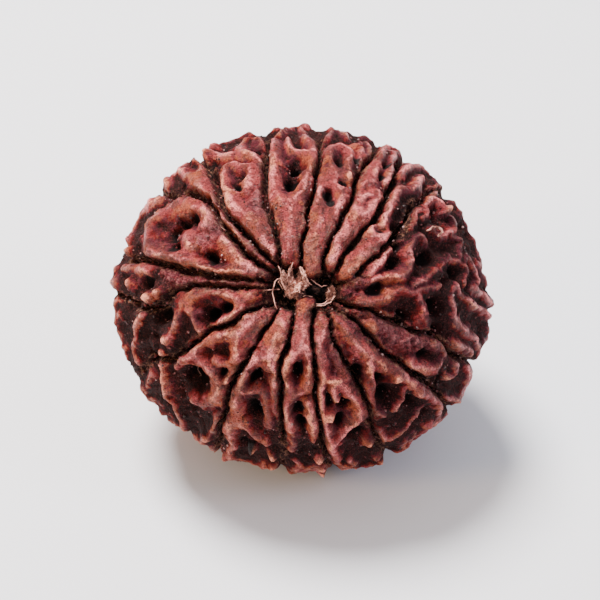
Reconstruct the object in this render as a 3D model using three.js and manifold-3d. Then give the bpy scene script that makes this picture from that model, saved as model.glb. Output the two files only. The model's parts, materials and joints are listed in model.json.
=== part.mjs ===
// A large many-faced rudraksha seed, lying on its side with its stalk end turned up.
// Millimetres, +Z up, standing on z = 0. +X runs across the widest way, and the stalk end looks to -Y.
import * as THREE from "three";
import { mergeVertices } from "three/addons/utils/BufferGeometryUtils.js";
import Module from "manifold-3d";

// Driving dimensions of the stone
const WIDTH = 29.8; // across its faces, the wide way, over the ridge tops
const BREADTH = 27.7; // across its faces, the narrow way
const LENGTH = 24.6; // from the stalk end to the tip
const STALK_RISE = 44; // degrees that the stalk end is turned up from level
const REST_HEIGHT = 12.72; // from the middle of the stone to the surface that it lies on

// Depths of the relief, below the ridge tops
const GROUND_DEPTH = 1.05; // the dull ground between the ridges
const PIT_DEPTH = 2.2; // the floors of the pits
const FURROW_DEPTH = 2.2; // the seams between two faces
const FLANK = 0.6; // width of the steep slope at each side of a ridge
const SKIRT = 1.6; // width of the long slope at its foot
const CREST_SHARE = 0.58; // share of a ridge's height that its steep slope takes
const FURROW_WIDTH = 0.76; // of a seam on the hidden half
const FURROW_EDGE = 0.15; // and its edges are rounded off this far out
const RIM_FILL = 0.4; // the ground rises by this share of its depth round the widest way
const RIM_SHALLOW = 0.45; // and the seams lose this share of their depth there
const RIM_FILL_FROM = [68, 112]; // degrees from the stalk end
const RIM_FILL_FULL = [82, 98];
const CREST_WAVE = 0.14; // how far the ridge tops rise and fall along their way
const GRAIN_DEPTH = 0.16; // unevenness of the ground

// The two ends
const STALK_DIP = 0.8; // the faces sink a little towards the stalk end
const STALK_DIP_RADIUS = 5.2;
const HOLLOW_DEPTH = 2.1; // the hollow where the stalk stood
const HOLLOW_RADIUS = 2.5;
const HOLLOW_CENTRE = [0.3, 1.05];
const HOLLOW_EDGE = [0.75, 1.25]; // shares of its radius between which its side falls
const TIP_DIP = 1.0;
const TIP_DIP_RADIUS = 4.5;
const TIP_PIT_DEPTH = 1.2;
const TIP_PIT_RADIUS = 1.6;

// The low bulge that the stone rests on, behind its lowest point
const REST_BULGE = 0.45;
const REST_BULGE_RADIUS = 3.4;
const REST_BULGE_PLACE = [0, 2.2];

// The dried fibres of the stalk
const FIBRE_GAP = 0.42;
const FIBRE_SIDES = 5;

const MESH_DETAIL = 23;
const SEAM_SNAP = 0.34; // corners of the skin this close to a seam lie on it
const RIDGE_SNAP = 0.24; // and this close to a ridge line
const RULE_SEED = 16;

// The relief of the stalk end is drawn as it is seen from a point in front and above, in millimetres
// to the right and up from the middle of the stone, with the width of the ridge as the third number.
const SIGHT_RISE = 40; // degrees
const SIGHT_DISTANCE = 160;

const RIDGES = {
  topLobe: [
    [[-0.85, 4.1, 2.3], [-0.9, 5.0, 2.3], [-0.8, 6.0, 2.4], [-0.8, 7.0, 2.5], [-1.0, 8.0, 2.6]],
    [[-1.6, 8.0, 1.4], [-2.0, 8.8, 1.2], [-2.2, 9.5, 1.1], [-2.25, 10.5, 1.1], [-2.1, 11.5, 1.2],
      [-2.1, 13.0, 1.2]],
    [[-0.5, 8.2, 1.2], [-0.1, 8.8, 1.0], [0.3, 9.5, 0.9], [0.5, 10.3, 0.9], [0.75, 11.0, 0.9],
      [0.85, 12.0, 0.7]],
    [[0.75, 11.3, 0.8], [0.4, 11.8, 0.8], [-0.3, 12.1, 0.8], [-0.9, 12.5, 0.8], [-1.05, 13.1, 0.8]],
    [[0.85, 12.0, 0.7], [0.75, 12.8, 0.7], [0.4, 13.5, 0.8], [-0.4, 13.9, 0.9], [-1.2, 13.7, 0.9],
      [-1.9, 13.4, 0.9]],
  ],
  topRightLobe: [
    [[1.1, 3.0, 2.1], [1.0, 4.2, 2.3], [1.3, 5.4, 2.5], [1.8, 6.5, 2.7], [2.1, 7.1, 2.8]],
    [[1.6, 7.0, 1.1], [1.5, 7.6, 0.9], [1.5, 8.3, 0.9], [1.7, 9.2, 1.1], [2.2, 10.0, 1.65],
      [2.9, 10.2, 2.1]],
    [[2.7, 7.0, 1.3], [3.0, 7.6, 1.2], [3.5, 8.4, 1.45], [3.2, 9.0, 1.45], [2.8, 9.6, 1.2]],
    [[2.4, 10.4, 1.0], [2.4, 11.3, 0.9], [2.5, 12.2, 0.9], [3.3, 12.5, 0.9], [4.0, 12.1, 0.9],
      [4.2, 11.3, 0.9], [3.8, 10.6, 1.0], [3.9, 9.9, 1.1]],
    [[2.1, 13.1, 0.75], [2.9, 13.6, 0.9], [3.7, 13.1, 0.75]],
    [[4.3, 12.6, 0.75], [4.8, 12.7, 0.75], [5.3, 12.7, 0.75], [5.7, 12.2, 0.75], [5.6, 11.6, 0.65]],
    [[5.0, 12.4, 0.65], [5.0, 11.4, 0.65]],
  ],
  forkedLobe: [
    [[2.62, 3.2, 1.32], [2.8, 3.6, 1.5], [3.2, 4.6, 1.8], [3.6, 5.6, 2.0], [4.2, 6.6, 2.5],
      [4.6, 7.2, 2.6]],
    [[4.4, 7.1, 1.6], [5.3, 6.8, 1.4]],
    [[5.0, 8.3, 1.25], [5.6, 8.5, 1.6], [6.3, 8.8, 1.25], [6.2, 8.1, 1.4], [5.9, 7.6, 1.25],
      [5.5, 7.0, 1.05]],
    [[5.2, 9.4, 1.7], [5.8, 9.8, 1.95], [6.0, 10.5, 1.5], [6.3, 11.2, 1.15], [6.5, 11.8, 1.15],
      [7.0, 12.2, 1.15], [7.5, 11.8, 0.8], [7.5, 11.3, 0.8], [7.3, 10.4, 0.8], [7.0, 9.6, 0.8]],
  ],
  heartLobe: [
    [[3.87, 2.27, 1.48], [4.3, 2.8, 1.8], [5.1, 3.6, 2.2], [5.9, 4.5, 2.6], [6.4, 4.9, 2.7]],
    [[6.0, 4.9, 1.4], [5.8, 5.9, 1.15]],
    [[6.6, 4.8, 1.4], [7.1, 5.4, 1.15]],
    [[6.7, 6.3, 1.05], [7.0, 7.0, 1.15], [7.4, 7.8, 1.25], [7.7, 8.5, 1.4], [8.2, 8.9, 1.4],
      [8.9, 8.9, 1.25], [9.4, 9.2, 0.9], [9.8, 9.9, 0.9]],
    [[8.2, 10.4, 0.8], [8.9, 10.8, 0.9], [9.7, 10.6, 0.9], [10.4, 10.2, 0.9], [10.9, 9.6, 0.9],
      [11.0, 8.8, 0.9]],
  ],
  ringLobe: [
    [[7.2, 4.0, 0.75], [6.9, 3.5, 0.85], [6.4, 2.9, 0.95], [5.8, 2.2, 1.1], [5.6, 1.7, 1.05],
      [6.4, 1.8, 1.05], [7.3, 1.8, 1.05], [8.2, 1.9, 1.1], [8.8, 2.5, 1.1], [9.0, 3.3, 1.1],
      [8.8, 4.1, 1.1], [9.0, 4.8, 1.05], [9.6, 5.1, 0.75], [10.1, 4.7, 0.75]],
    [[5.0, 0.0, 1.2], [5.8, -0.1, 1.1], [6.6, 0.1, 0.95], [7.3, 0.4, 0.85], [7.9, 0.75, 0.85],
      [8.6, 0.9, 0.75], [9.6, 0.6, 0.75], [10.5, 0.9, 0.75], [11.2, 1.2, 0.75]],
    [[4.4, 1.0, 0.7], [4.9, 1.5, 0.7], [5.6, 1.7, 0.7]],
    [[9.0, 5.7, 0.6], [9.3, 6.5, 0.6], [9.4, 7.1, 0.6], [9.9, 7.4, 0.6], [10.2, 7.0, 0.6],
      [9.9, 6.5, 0.5]],
    [[10.2, 7.2, 0.6], [10.4, 8.0, 0.7], [11.0, 8.2, 0.75], [11.5, 7.7, 0.7], [11.9, 7.0, 0.7]],
    [[12.5, 6.6, 0.7], [12.6, 5.9, 0.7], [12.3, 5.4, 0.7], [11.4, 5.2, 0.7], [10.6, 5.6, 0.7]],
    [[12.4, 5.2, 0.6], [13.0, 4.6, 0.7], [12.9, 3.8, 0.7], [12.9, 3.3, 0.75]],
    [[9.3, 1.3, 0.7], [10.2, 1.5, 0.75], [10.9, 2.3, 0.75], [11.6, 2.9, 0.75], [12.3, 3.2, 0.75],
      [13.0, 3.1, 0.7], [13.4, 2.6, 0.7], [13.5, 2.0, 0.7], [13.2, 1.3, 0.7]],
    [[13.3, 3.3, 0.7], [14.0, 2.8, 0.7], [14.3, 2.0, 0.7], [14.3, 1.4, 0.7]],
    [[10.1, -1.6, 1.55], [10.0, -1.0, 1.1], [9.8, 0.3, 0.75]],
    [[12.4, 0.9, 0.85], [12.4, 0.2, 1.05], [12.5, -0.8, 1.1], [12.5, -1.6, 0.95], [12.9, -2.2, 0.85],
      [13.3, -2.7, 0.7], [13.7, -3.0, 0.7]],
    [[12.6, 1.0, 0.7], [13.1, 0.5, 0.7], [13.8, -0.1, 0.7], [14.4, -0.6, 0.7], [14.8, -1.3, 0.7]],
    [[14.0, 0.9, 0.7], [14.6, 0.4, 0.7], [15.0, -0.3, 0.7]],
    [[12.4, -3.5, 0.85], [13.2, -3.9, 0.85], [13.5, -4.4, 0.75]],
    [[13.7, -3.0, 0.7], [14.1, -3.5, 0.7], [14.3, -4.4, 0.7]],
  ],
  dullLobe: [
    [[4.73, -1.16, 1.21], [5.3, -1.5, 1.5], [6.5, -2.2, 2.3], [8.0, -3.0, 2.8], [9.4, -3.5, 2.5],
      [10.6, -3.7, 1.4]],
    [[10.6, -3.7, 1.0], [11.2, -4.0, 1.2], [11.4, -4.5, 1.4], [11.1, -5.2, 1.5], [10.5, -5.6, 1.4],
      [9.6, -5.5, 1.3], [8.9, -5.2, 1.1]],
    [[12.4, -5.0, 1.1], [12.3, -5.8, 1.0], [11.9, -6.2, 0.9]],
    [[13.3, -5.4, 0.9], [13.2, -6.2, 0.9], [13.0, -7.0, 0.9], [12.5, -7.6, 0.9], [11.7, -7.9, 0.9]],
    [[12.4, -8.5, 0.9], [11.5, -9.2, 0.9], [11.0, -9.9, 0.8]],
  ],
  lowerRightLobe: [
    [[2.98, -1.67, 0.74], [3.4, -2.3, 0.95], [4.2, -3.3, 1.1], [5.0, -4.1, 1.2], [5.7, -4.8, 1.35],
      [6.4, -5.4, 1.3], [7.3, -5.8, 1.2], [8.2, -6.3, 1.15], [9.0, -6.9, 1.1], [9.7, -7.4, 1.0]],
    [[5.6, -5.2, 0.7], [5.8, -6.2, 0.5], [5.7, -7.2, 0.6], [5.7, -8.0, 0.6], [5.8, -8.7, 0.6],
      [6.6, -9.4, 0.5]],
    [[9.0, -7.0, 0.6], [8.5, -7.2, 0.5], [8.2, -8.0, 0.45], [7.5, -8.9, 0.45]],
    [[9.7, -7.4, 0.65], [10.4, -8.0, 0.6], [10.8, -8.3, 0.6], [11.0, -8.9, 0.6], [10.7, -9.6, 0.6],
      [10.0, -10.1, 0.6]],
    [[10.2, -8.2, 0.5], [9.5, -8.7, 0.5], [9.2, -9.2, 0.5], [8.7, -9.7, 0.6], [8.2, -10.2, 0.6],
      [7.5, -10.8, 0.6], [6.8, -11.1, 0.6], [6.4, -10.6, 0.6]],
    [[9.1, -10.6, 0.45], [8.6, -11.3, 0.5], [8.1, -11.8, 0.6], [7.7, -12.2, 0.65]],
  ],
  lowerLobe: [
    [[1.67, -1.62, 0.9], [1.9, -2.2, 0.9], [1.8, -3.2, 0.7], [1.7, -4.2, 0.7], [1.8, -5.2, 0.7],
      [1.9, -6.2, 0.75], [1.8, -7.0, 0.7], [1.7, -7.8, 0.55], [1.7, -8.4, 0.55], [1.8, -9.2, 0.55],
      [2.0, -10.0, 0.6], [2.2, -10.8, 0.6], [2.5, -11.4, 0.6], [2.7, -12.1, 0.6], [2.9, -12.9, 0.6],
      [3.3, -13.3, 0.6]],
    [[1.9, -6.6, 0.75], [2.7, -6.7, 1.0], [3.4, -6.9, 0.9], [4.0, -7.8, 0.7], [4.5, -8.6, 0.7],
      [4.8, -9.4, 0.7], [4.4, -10.1, 0.7], [3.9, -10.6, 0.7], [3.3, -11.2, 0.7], [2.8, -11.8, 0.6]],
    [[2.3, -2.6, 0.7], [2.6, -3.8, 0.75], [2.9, -5.0, 0.75], [3.2, -6.2, 0.75]],
    [[2.9, -7.2, 0.6], [2.9, -8.3, 0.45]],
    [[4.1, -12.9, 0.6], [4.8, -13.2, 0.6], [5.4, -13.0, 0.6]],
  ],
  bottomLobe: [
    [[0.46, -1.49, 2.28], [0.3, -2.3, 2.2], [0.2, -3.2, 2.2], [0.1, -4.1, 2.2]],
    [[-0.3, -4.3, 0.9], [-0.8, -4.8, 0.7], [-1.1, -5.4, 0.6], [-1.2, -6.3, 0.6], [-1.0, -7.2, 0.7],
      [-0.7, -7.8, 1.0]],
    [[0.4, -4.2, 1.0], [0.7, -4.8, 0.9], [0.8, -5.5, 0.9], [0.7, -6.5, 0.8], [0.4, -7.3, 0.9],
      [-0.2, -7.7, 1.0], [-0.7, -7.9, 1.1], [-1.0, -8.6, 0.9], [-1.1, -9.4, 0.7], [-0.9, -10.3, 0.8],
      [-0.6, -11.2, 0.8], [-0.7, -12.2, 0.8]],
    [[0.6, -8.6, 0.6], [0.7, -9.2, 0.7], [0.8, -10.0, 0.8], [0.9, -10.8, 0.9], [1.0, -11.6, 0.8]],
    [[-0.5, -13.3, 0.7], [0.2, -13.7, 0.8], [0.9, -13.6, 0.8]],
  ],
  lowerLeftLobe: [
    [[-1.5, -1.9, 1.8], [-1.9, -2.8, 2.0], [-2.2, -3.7, 2.1], [-2.4, -4.6, 2.0], [-2.4, -5.4, 1.4],
      [-2.1, -6.2, 0.8], [-2.2, -7.2, 0.7], [-2.2, -8.2, 0.7], [-2.1, -9.2, 0.7]],
    [[-2.6, -4.9, 1.2], [-3.5, -5.0, 1.0], [-4.4, -5.4, 0.8], [-4.7, -6.3, 0.9], [-5.0, -7.2, 0.9],
      [-5.3, -8.2, 0.8], [-5.2, -9.2, 0.7], [-5.4, -10.0, 0.8]],
    [[-4.9, -7.5, 0.8], [-4.2, -7.6, 0.8], [-3.5, -7.5, 0.8], [-2.9, -7.9, 0.8], [-2.7, -8.6, 0.8],
      [-2.7, -9.4, 0.8], [-2.6, -10.4, 0.6]],
    [[-5.9, -10.7, 1.6], [-5.4, -10.1, 1.4], [-4.9, -10.3, 1.2], [-4.2, -10.8, 1.0],
      [-3.4, -11.3, 1.0], [-2.7, -11.9, 0.7]],
    [[-5.7, -11.0, 0.8], [-5.6, -12.0, 0.7], [-5.5, -13.2, 0.8], [-4.2, -13.6, 0.8],
      [-3.2, -13.5, 0.8]],
  ],
  wingLobe: [
    [[-3.8, -1.7, 2.1], [-4.6, -2.3, 2.5], [-5.5, -2.7, 1.8], [-6.5, -3.0, 1.1], [-7.4, -3.4, 0.9],
      [-8.4, -3.9, 1.1], [-8.7, -4.6, 1.6], [-8.0, -5.3, 1.3], [-7.3, -6.0, 1.1], [-6.9, -6.8, 1.0],
      [-6.8, -7.6, 1.3], [-7.1, -8.4, 1.6], [-7.9, -8.7, 1.5], [-8.6, -8.3, 1.1]],
    [[-4.7, -2.6, 1.8], [-5.1, -3.3, 1.5], [-5.3, -4.2, 1.1], [-5.4, -5.0, 0.7]],
    [[-6.9, -5.0, 0.6], [-6.4, -5.3, 0.7], [-5.8, -5.5, 0.7], [-5.6, -6.2, 0.6], [-6.0, -6.9, 0.6]],
    [[-8.8, -4.6, 1.0], [-9.5, -4.8, 0.8], [-10.2, -5.4, 0.7]],
    [[-6.9, -9.4, 0.7], [-6.9, -10.3, 0.7], [-7.6, -11.0, 0.8], [-7.9, -12.0, 0.7]],
  ],
  leftLobe: [
    [[-4.3, 0.3, 1.3], [-5.2, -0.1, 1.0], [-6.0, 0.1, 0.8], [-7.0, 0.4, 0.9], [-8.0, 0.4, 1.3],
      [-9.0, 0.2, 1.7], [-9.6, -0.2, 1.5], [-9.9, -0.9, 1.1], [-10.1, -1.6, 0.8], [-10.4, -2.6, 0.8],
      [-10.9, -3.4, 1.2]],
    [[-9.0, 0.0, 1.5], [-9.0, -0.6, 1.4], [-8.8, -1.2, 1.2], [-8.6, -2.0, 0.9], [-8.2, -2.7, 0.6]],
    [[-4.8, -0.6, 0.6], [-5.6, -1.4, 0.6], [-6.5, -1.9, 0.6]],
    [[-13.0, -1.4, 0.8], [-13.4, -2.3, 0.8], [-13.4, -3.4, 0.9], [-13.7, -4.2, 0.7],
      [-13.3, -5.2, 0.7]],
    [[-11.4, -4.6, 0.7], [-11.3, -5.6, 0.7], [-11.3, -6.4, 0.8], [-11.0, -7.2, 0.8],
      [-10.8, -8.0, 0.8], [-10.3, -8.5, 0.7], [-10.1, -9.2, 0.7], [-9.7, -9.9, 0.9],
      [-9.4, -10.5, 0.7]],
    [[-12.2, -6.2, 0.7], [-12.5, -7.0, 0.7], [-12.4, -7.8, 0.7], [-11.9, -8.3, 0.7],
      [-11.3, -8.8, 0.7], [-11.3, -9.4, 0.7]],
  ],
  narrowLobe: [
    [[-3.6, 1.25, 0.6], [-5.0, 1.4, 0.7], [-7.0, 1.4, 0.7], [-9.0, 1.5, 0.8], [-10.2, 1.6, 1.1],
      [-11.2, 2.0, 1.1]],
    [[-11.4, 0.7, 0.9], [-12.0, 0.4, 0.7], [-12.6, 0.2, 1.0]],
    [[-14.7, 0.2, 0.8], [-14.9, -0.6, 0.8], [-14.8, -1.4, 0.8]],
    [[-12.8, 2.2, 0.8], [-13.5, 2.4, 0.8], [-14.4, 2.4, 0.8]],
  ],
  loopLobe: [
    [[-3.8, 2.3, 1.6], [-4.6, 2.9, 2.0], [-5.4, 3.6, 2.2], [-5.9, 4.2, 2.0], [-6.3, 4.9, 1.3]],
    [[-4.4, 2.2, 1.0], [-5.4, 2.3, 1.0], [-6.8, 2.2, 0.9], [-7.8, 2.5, 0.9], [-8.6, 2.9, 0.9],
      [-9.6, 3.2, 0.9], [-10.8, 3.4, 1.1], [-11.8, 3.9, 1.6], [-12.4, 4.6, 2.1], [-12.5, 5.4, 2.0],
      [-12.2, 6.3, 1.7], [-11.6, 6.9, 1.4], [-11.0, 7.3, 1.4], [-10.3, 7.7, 1.9], [-9.5, 7.9, 2.1],
      [-8.8, 7.8, 1.8], [-8.1, 7.4, 1.5], [-7.7, 6.8, 1.3], [-7.9, 6.1, 1.2]],
    [[-9.2, 4.9, 1.8], [-9.1, 4.4, 1.9]],
    [[-8.3, 4.8, 1.7], [-7.7, 5.4, 1.7], [-7.4, 6.0, 1.4]],
    [[-13.0, 6.9, 1.1], [-12.4, 7.6, 1.4], [-11.6, 8.1, 1.2]],
  ],
  hookLobe: [
    [[-4.6, 4.2, 0.6], [-5.6, 5.4, 0.7], [-6.4, 6.6, 0.7], [-7.2, 7.6, 1.1], [-7.8, 8.6, 1.5],
      [-8.3, 9.5, 1.6], [-9.2, 10.2, 1.2], [-9.8, 10.4, 1.2], [-10.5, 10.0, 1.1], [-10.8, 9.4, 1.1]],
    [[-8.4, 9.9, 1.5], [-8.1, 10.5, 1.3], [-8.0, 11.0, 1.1]],
  ],
  crookLobe: [
    [[-2.49, 3.74, 1.63], [-2.7, 4.2, 1.8], [-3.3, 5.4, 1.9], [-4.0, 6.5, 2.2], [-5.0, 7.3, 1.9],
      [-5.7, 8.0, 1.5], [-6.1, 9.0, 1.2], [-6.3, 10.0, 1.1], [-6.0, 10.8, 0.9], [-4.9, 10.9, 0.7],
      [-4.0, 10.8, 1.1], [-4.1, 10.1, 1.3], [-4.3, 9.3, 1.5]],
    [[-3.9, 7.0, 1.6], [-3.6, 7.9, 1.5], [-3.4, 8.8, 1.3]],
    [[-3.2, 3.4, 0.7], [-3.8, 4.2, 0.7], [-4.6, 5.2, 0.7]],
    [[-8.1, 11.2, 1.0], [-7.5, 11.7, 1.3], [-6.5, 11.9, 1.4], [-5.6, 11.7, 1.3]],
    [[-4.5, 11.7, 1.1], [-4.9, 12.2, 1.3], [-4.7, 12.8, 1.3], [-4.1, 13.1, 1.2], [-3.3, 13.0, 1.1],
      [-2.6, 12.9, 1.0]],
    [[-4.5, 11.8, 0.8], [-3.8, 11.6, 0.8], [-3.3, 11.3, 0.8]],
  ],
};

// Round knobs, with the diameter as the third number
const KNOBS = [
  [5.9, -2.4, 1.1], [11.9, 7.0, 0.8], [7.8, -6.5, 1.2], [2.4, -9.4, 0.9], [5.5, -11.4, 1.0],
  [6.1, -12.6, 0.8], [1.4, -12.9, 0.8], [1.7, -13.9, 0.8], [-2.3, -12.7, 1.0], [-2.2, -13.6, 0.9],
  [-6.1, -12.7, 0.8], [-4.0, -12.3, 0.6], [-7.7, -11.0, 0.9], [-7.0, -12.9, 0.7], [-14.0, 3.9, 0.9],
  [-14.0, 1.2, 1.3], [-12.4, 0.2, 1.1], [-11.5, 0.6, 1.0], [-10.9, -3.4, 1.4], [3.9, 9.9, 1.1],
];

// Pits, with the width as the third number
const PITS = [
  [-0.8, 9.8, 1.3], [-0.4, 11.0, 1.1], [-0.3, 13.1, 0.8], [2.2, 8.6, 1.0], [2.5, 8.0, 0.8],
  [3.4, 9.5, 0.6], [3.3, 11.3, 1.1], [4.7, 11.4, 0.8], [4.4, 4.6, 0.6], [7.2, 10.8, 0.7],
  [6.7, 10.1, 0.7], [6.4, 5.5, 0.6], [7.9, 5.6, 0.9], [7.7, 3.0, 1.0], [8.0, 4.4, 0.8],
  [6.2, 0.9, 1.4], [11.1, 7.0, 0.9], [12.6, 2.2, 1.0], [11.2, -0.5, 1.3], [8.6, -1.6, 1.1],
  [11.5, -2.7, 1.0], [10.1, -4.4, 0.9], [11.3, -6.8, 1.3], [4.9, -6.2, 0.9], [6.8, -8.0, 1.5],
  [6.4, -6.5, 0.8], [9.0, -8.3, 0.9], [10.1, -9.2, 0.8], [2.4, -8.4, 0.8], [3.6, -8.6, 0.8],
  [3.0, -10.2, 1.2], [4.7, -11.3, 1.4], [-0.2, -6.0, 1.2], [0.0, -9.2, 0.8], [0.1, -10.4, 0.9],
  [-3.7, -6.6, 1.0], [-3.7, -9.4, 1.5], [-4.3, -12.1, 1.4], [-6.2, -6.2, 0.7], [-9.0, -6.4, 2.0],
  [-8.3, -7.1, 1.3], [-7.4, -1.3, 1.1], [-6.1, -0.9, 0.8], [-11.7, -1.3, 1.7], [-10.8, 5.4, 1.1],
  [-10.7, 4.3, 0.9], [-9.8, 6.4, 0.7], [-8.8, 6.9, 0.8], [-7.4, 3.4, 0.8], [-10.0, 9.5, 0.9],
  [-5.2, 9.4, 0.9], [-4.6, 10.2, 0.6], [-7.4, 11.3, 0.8], [-3.6, 12.4, 0.9], [-2.9, 11.7, 0.6],
  [-12.9, 1.5, 0.9], [10.6, 3.4, 1.2],
];

// The seams between the sixteen faces, from the stalk end outwards
const SEAMS = [
  [[-1.7, 2.8], [-1.85, 4.0], [-2.0, 5.0], [-2.2, 6.0], [-2.6, 7.0], [-2.8, 8.0], [-2.9, 9.0],
    [-3.0, 10.0], [-2.9, 11.0], [-2.7, 12.0], [-2.9, 13.3]],
  [[0.1, 2.9], [0.15, 4.0], [0.25, 5.0], [0.5, 6.0], [0.7, 7.2], [0.9, 8.5], [1.15, 9.5], [1.3, 10.5],
    [1.5, 11.5], [1.6, 12.5], [1.6, 13.5]],
  [[1.9, 2.3], [2.0, 3.5], [2.4, 4.6], [2.9, 5.6], [3.3, 6.7], [3.9, 7.7], [4.4, 8.6], [4.5, 9.6],
    [4.9, 10.4], [5.4, 11.0], [6.0, 11.9], [6.3, 12.5]],
  [[3.0, 2.5], [3.5, 3.4], [4.1, 4.4], [4.8, 5.1], [5.4, 5.9], [6.0, 6.5], [6.5, 7.2], [6.9, 8.0],
    [7.2, 8.8], [7.6, 9.5], [8.0, 10.4], [8.1, 11.3]],
  [[3.9, 1.5], [5.0, 2.6], [5.8, 3.3], [6.5, 3.8], [7.1, 4.4], [7.6, 5.0], [8.2, 5.6], [8.8, 6.6],
    [9.2, 7.8], [10.0, 8.2], [10.6, 8.8], [11.8, 8.7]],
  [[4.1, -0.5], [5.2, -0.85], [6.0, -1.1], [6.8, -1.4], [7.9, -1.9], [8.8, -2.3], [9.7, -2.7],
    [10.6, -3.0], [11.5, -3.3], [12.0, -4.1], [12.9, -4.8], [14.0, -5.2]],
  [[3.4, -1.1], [4.4, -1.8], [5.2, -2.5], [5.8, -3.1], [6.4, -3.8], [7.2, -4.5], [8.2, -5.4],
    [9.0, -6.0], [10.0, -6.6], [10.7, -7.2], [11.4, -8.3], [12.2, -9.0]],
  [[2.4, -1.6], [2.5, -2.4], [2.7, -3.3], [3.1, -4.2], [3.7, -5.3], [4.3, -6.3], [4.9, -7.3],
    [5.3, -8.1], [5.6, -9.0], [5.9, -10.0], [6.3, -11.3], [6.9, -12.7]],
  [[1.2, -1.2], [1.1, -2.3], [1.0, -3.4], [1.2, -4.5], [1.3, -5.5], [1.3, -6.5], [1.2, -7.5],
    [1.25, -8.5], [1.4, -9.5], [1.6, -10.6], [1.9, -11.8], [2.2, -13.5]],
  [[-0.5, -1.0], [-0.6, -2.0], [-0.9, -3.0], [-1.2, -4.0], [-1.6, -5.0], [-1.7, -6.0], [-1.6, -7.0],
    [-1.6, -8.0], [-1.6, -9.0], [-1.5, -11.0], [-1.5, -13.7]],
  [[-2.0, -1.0], [-2.6, -1.9], [-3.3, -2.9], [-3.8, -3.9], [-4.4, -4.7], [-4.9, -5.5], [-5.3, -6.3],
    [-5.8, -7.2], [-6.1, -8.2], [-6.2, -9.2], [-6.5, -10.2], [-6.8, -11.6], [-6.9, -13.0]],
  [[-3.0, -0.6], [-4.4, -1.0], [-5.6, -1.9], [-7.0, -2.5], [-8.0, -3.1], [-9.0, -3.7], [-9.9, -4.4],
    [-10.5, -5.0], [-11.8, -5.0], [-13.2, -6.0]],
  [[-3.3, 0.85], [-5.0, 0.9], [-7.0, 0.95], [-9.0, 0.95], [-10.3, 0.7], [-11.6, -0.2], [-13.0, -0.7],
    [-14.8, 0.6]],
  [[-3.4, 1.65], [-5.0, 1.75], [-7.0, 1.8], [-9.0, 2.3], [-10.5, 2.7], [-12.0, 3.1], [-13.0, 3.4],
    [-14.3, 3.2]],
  [[-3.4, 2.9], [-4.4, 3.7], [-5.2, 4.6], [-6.0, 5.5], [-6.7, 6.3], [-7.1, 7.1], [-7.7, 8.2],
    [-8.6, 8.8], [-9.6, 9.0], [-10.6, 8.8], [-11.8, 8.6]],
  [[-3.2, 3.9], [-4.0, 4.8], [-5.0, 5.8], [-5.8, 6.6], [-6.5, 7.4], [-6.8, 8.2], [-6.9, 9.0],
    [-7.1, 9.9], [-7.6, 10.8], [-8.6, 11.9]],
];

// Widths of these seams, in their order
const SEAM_WIDTHS = [
  1.0, 0.7, 0.7, 0.8, 0.7, 0.8, 0.7, 0.65, 0.6, 0.7, 0.65, 0.7, 0.7, 1.0, 1.1, 1.1,
];

// Places on the rim that stand out: right, up, reach and height
const OUTCROPS = [
  [-8.0, 11.5, 1.6, 0.6], [-13.5, -5.7, 1.6, 0.5], [-14.9, 1.5, 3.5, 0.35], [10.7, -10.0, 13.0, 0.45],
  [15.1, -1.2, 3.0, 0.4],
];

const UP = new THREE.Vector3(0, 0, 1);
const half = new THREE.Vector3(WIDTH / 2, BREADTH / 2, LENGTH / 2);

// Axes of the stone as it lies: across, along its narrow breadth, and out of its stalk end
const rise = THREE.MathUtils.degToRad(STALK_RISE);
const across = new THREE.Vector3(1, 0, 0);
const breadthAxis = new THREE.Vector3(0, Math.sin(rise), Math.cos(rise));
const stalkAxis = new THREE.Vector3(0, -Math.cos(rise), Math.sin(rise));

const sight = THREE.MathUtils.degToRad(SIGHT_RISE);
const sightUp = new THREE.Vector3(0, Math.sin(sight), Math.cos(sight));
const eye = new THREE.Vector3(0, -Math.cos(sight), Math.sin(sight)).multiplyScalar(SIGHT_DISTANCE);

function smooth(from, to, x) {
  const t = Math.min(1, Math.max(0, (x - from) / (to - from)));
  return t * t * (3 - 2 * t);
}

// A repeatable draw of numbers from 0 to 1
function drawer(seed) {
  let state = seed;
  return () => {
    state = (state + 0x6d2b79f5) | 0;
    let t = Math.imul(state ^ (state >>> 15), 1 | state);
    t = (t + Math.imul(t ^ (t >>> 7), 61 | t)) ^ t;
    return ((t ^ (t >>> 14)) >>> 0) / 4294967296;
  };
}

// From a direction of the round ball (across, breadth, stalk) to the point of the stone's body
function bodyPoint(ball) {
  return new THREE.Vector3()
    .addScaledVector(across, ball.x * half.x)
    .addScaledVector(breadthAxis, ball.y * half.y)
    .addScaledVector(stalkAxis, ball.z * half.z);
}

function bodyNormal(ball) {
  return new THREE.Vector3()
    .addScaledVector(across, ball.x / half.x)
    .addScaledVector(breadthAxis, ball.y / half.y)
    .addScaledVector(stalkAxis, ball.z / half.z)
    .normalize();
}

function toBall(v) {
  return new THREE.Vector3(v.dot(across) / half.x, v.dot(breadthAxis) / half.y, v.dot(stalkAxis) / half.z);
}

// Where a straight line first meets the body, or its nearest point of it where it passes by
function meetBody(from, towards) {
  const start = toBall(from);
  const step = toBall(towards.clone().sub(from));
  const a = step.lengthSq();
  const b = start.dot(step);
  const within = Math.max(0, b * b - a * (start.lengthSq() - 1));
  return bodyPoint(start.addScaledVector(step, (-b - Math.sqrt(within)) / a).normalize());
}

function seen(u, v) {
  return meetBody(eye, new THREE.Vector3(u, 0, 0).addScaledVector(sightUp, v));
}

function under(x, y) {
  return meetBody(new THREE.Vector3(x, y, -SIGHT_DISTANCE), new THREE.Vector3(x, y, 0));
}

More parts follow.
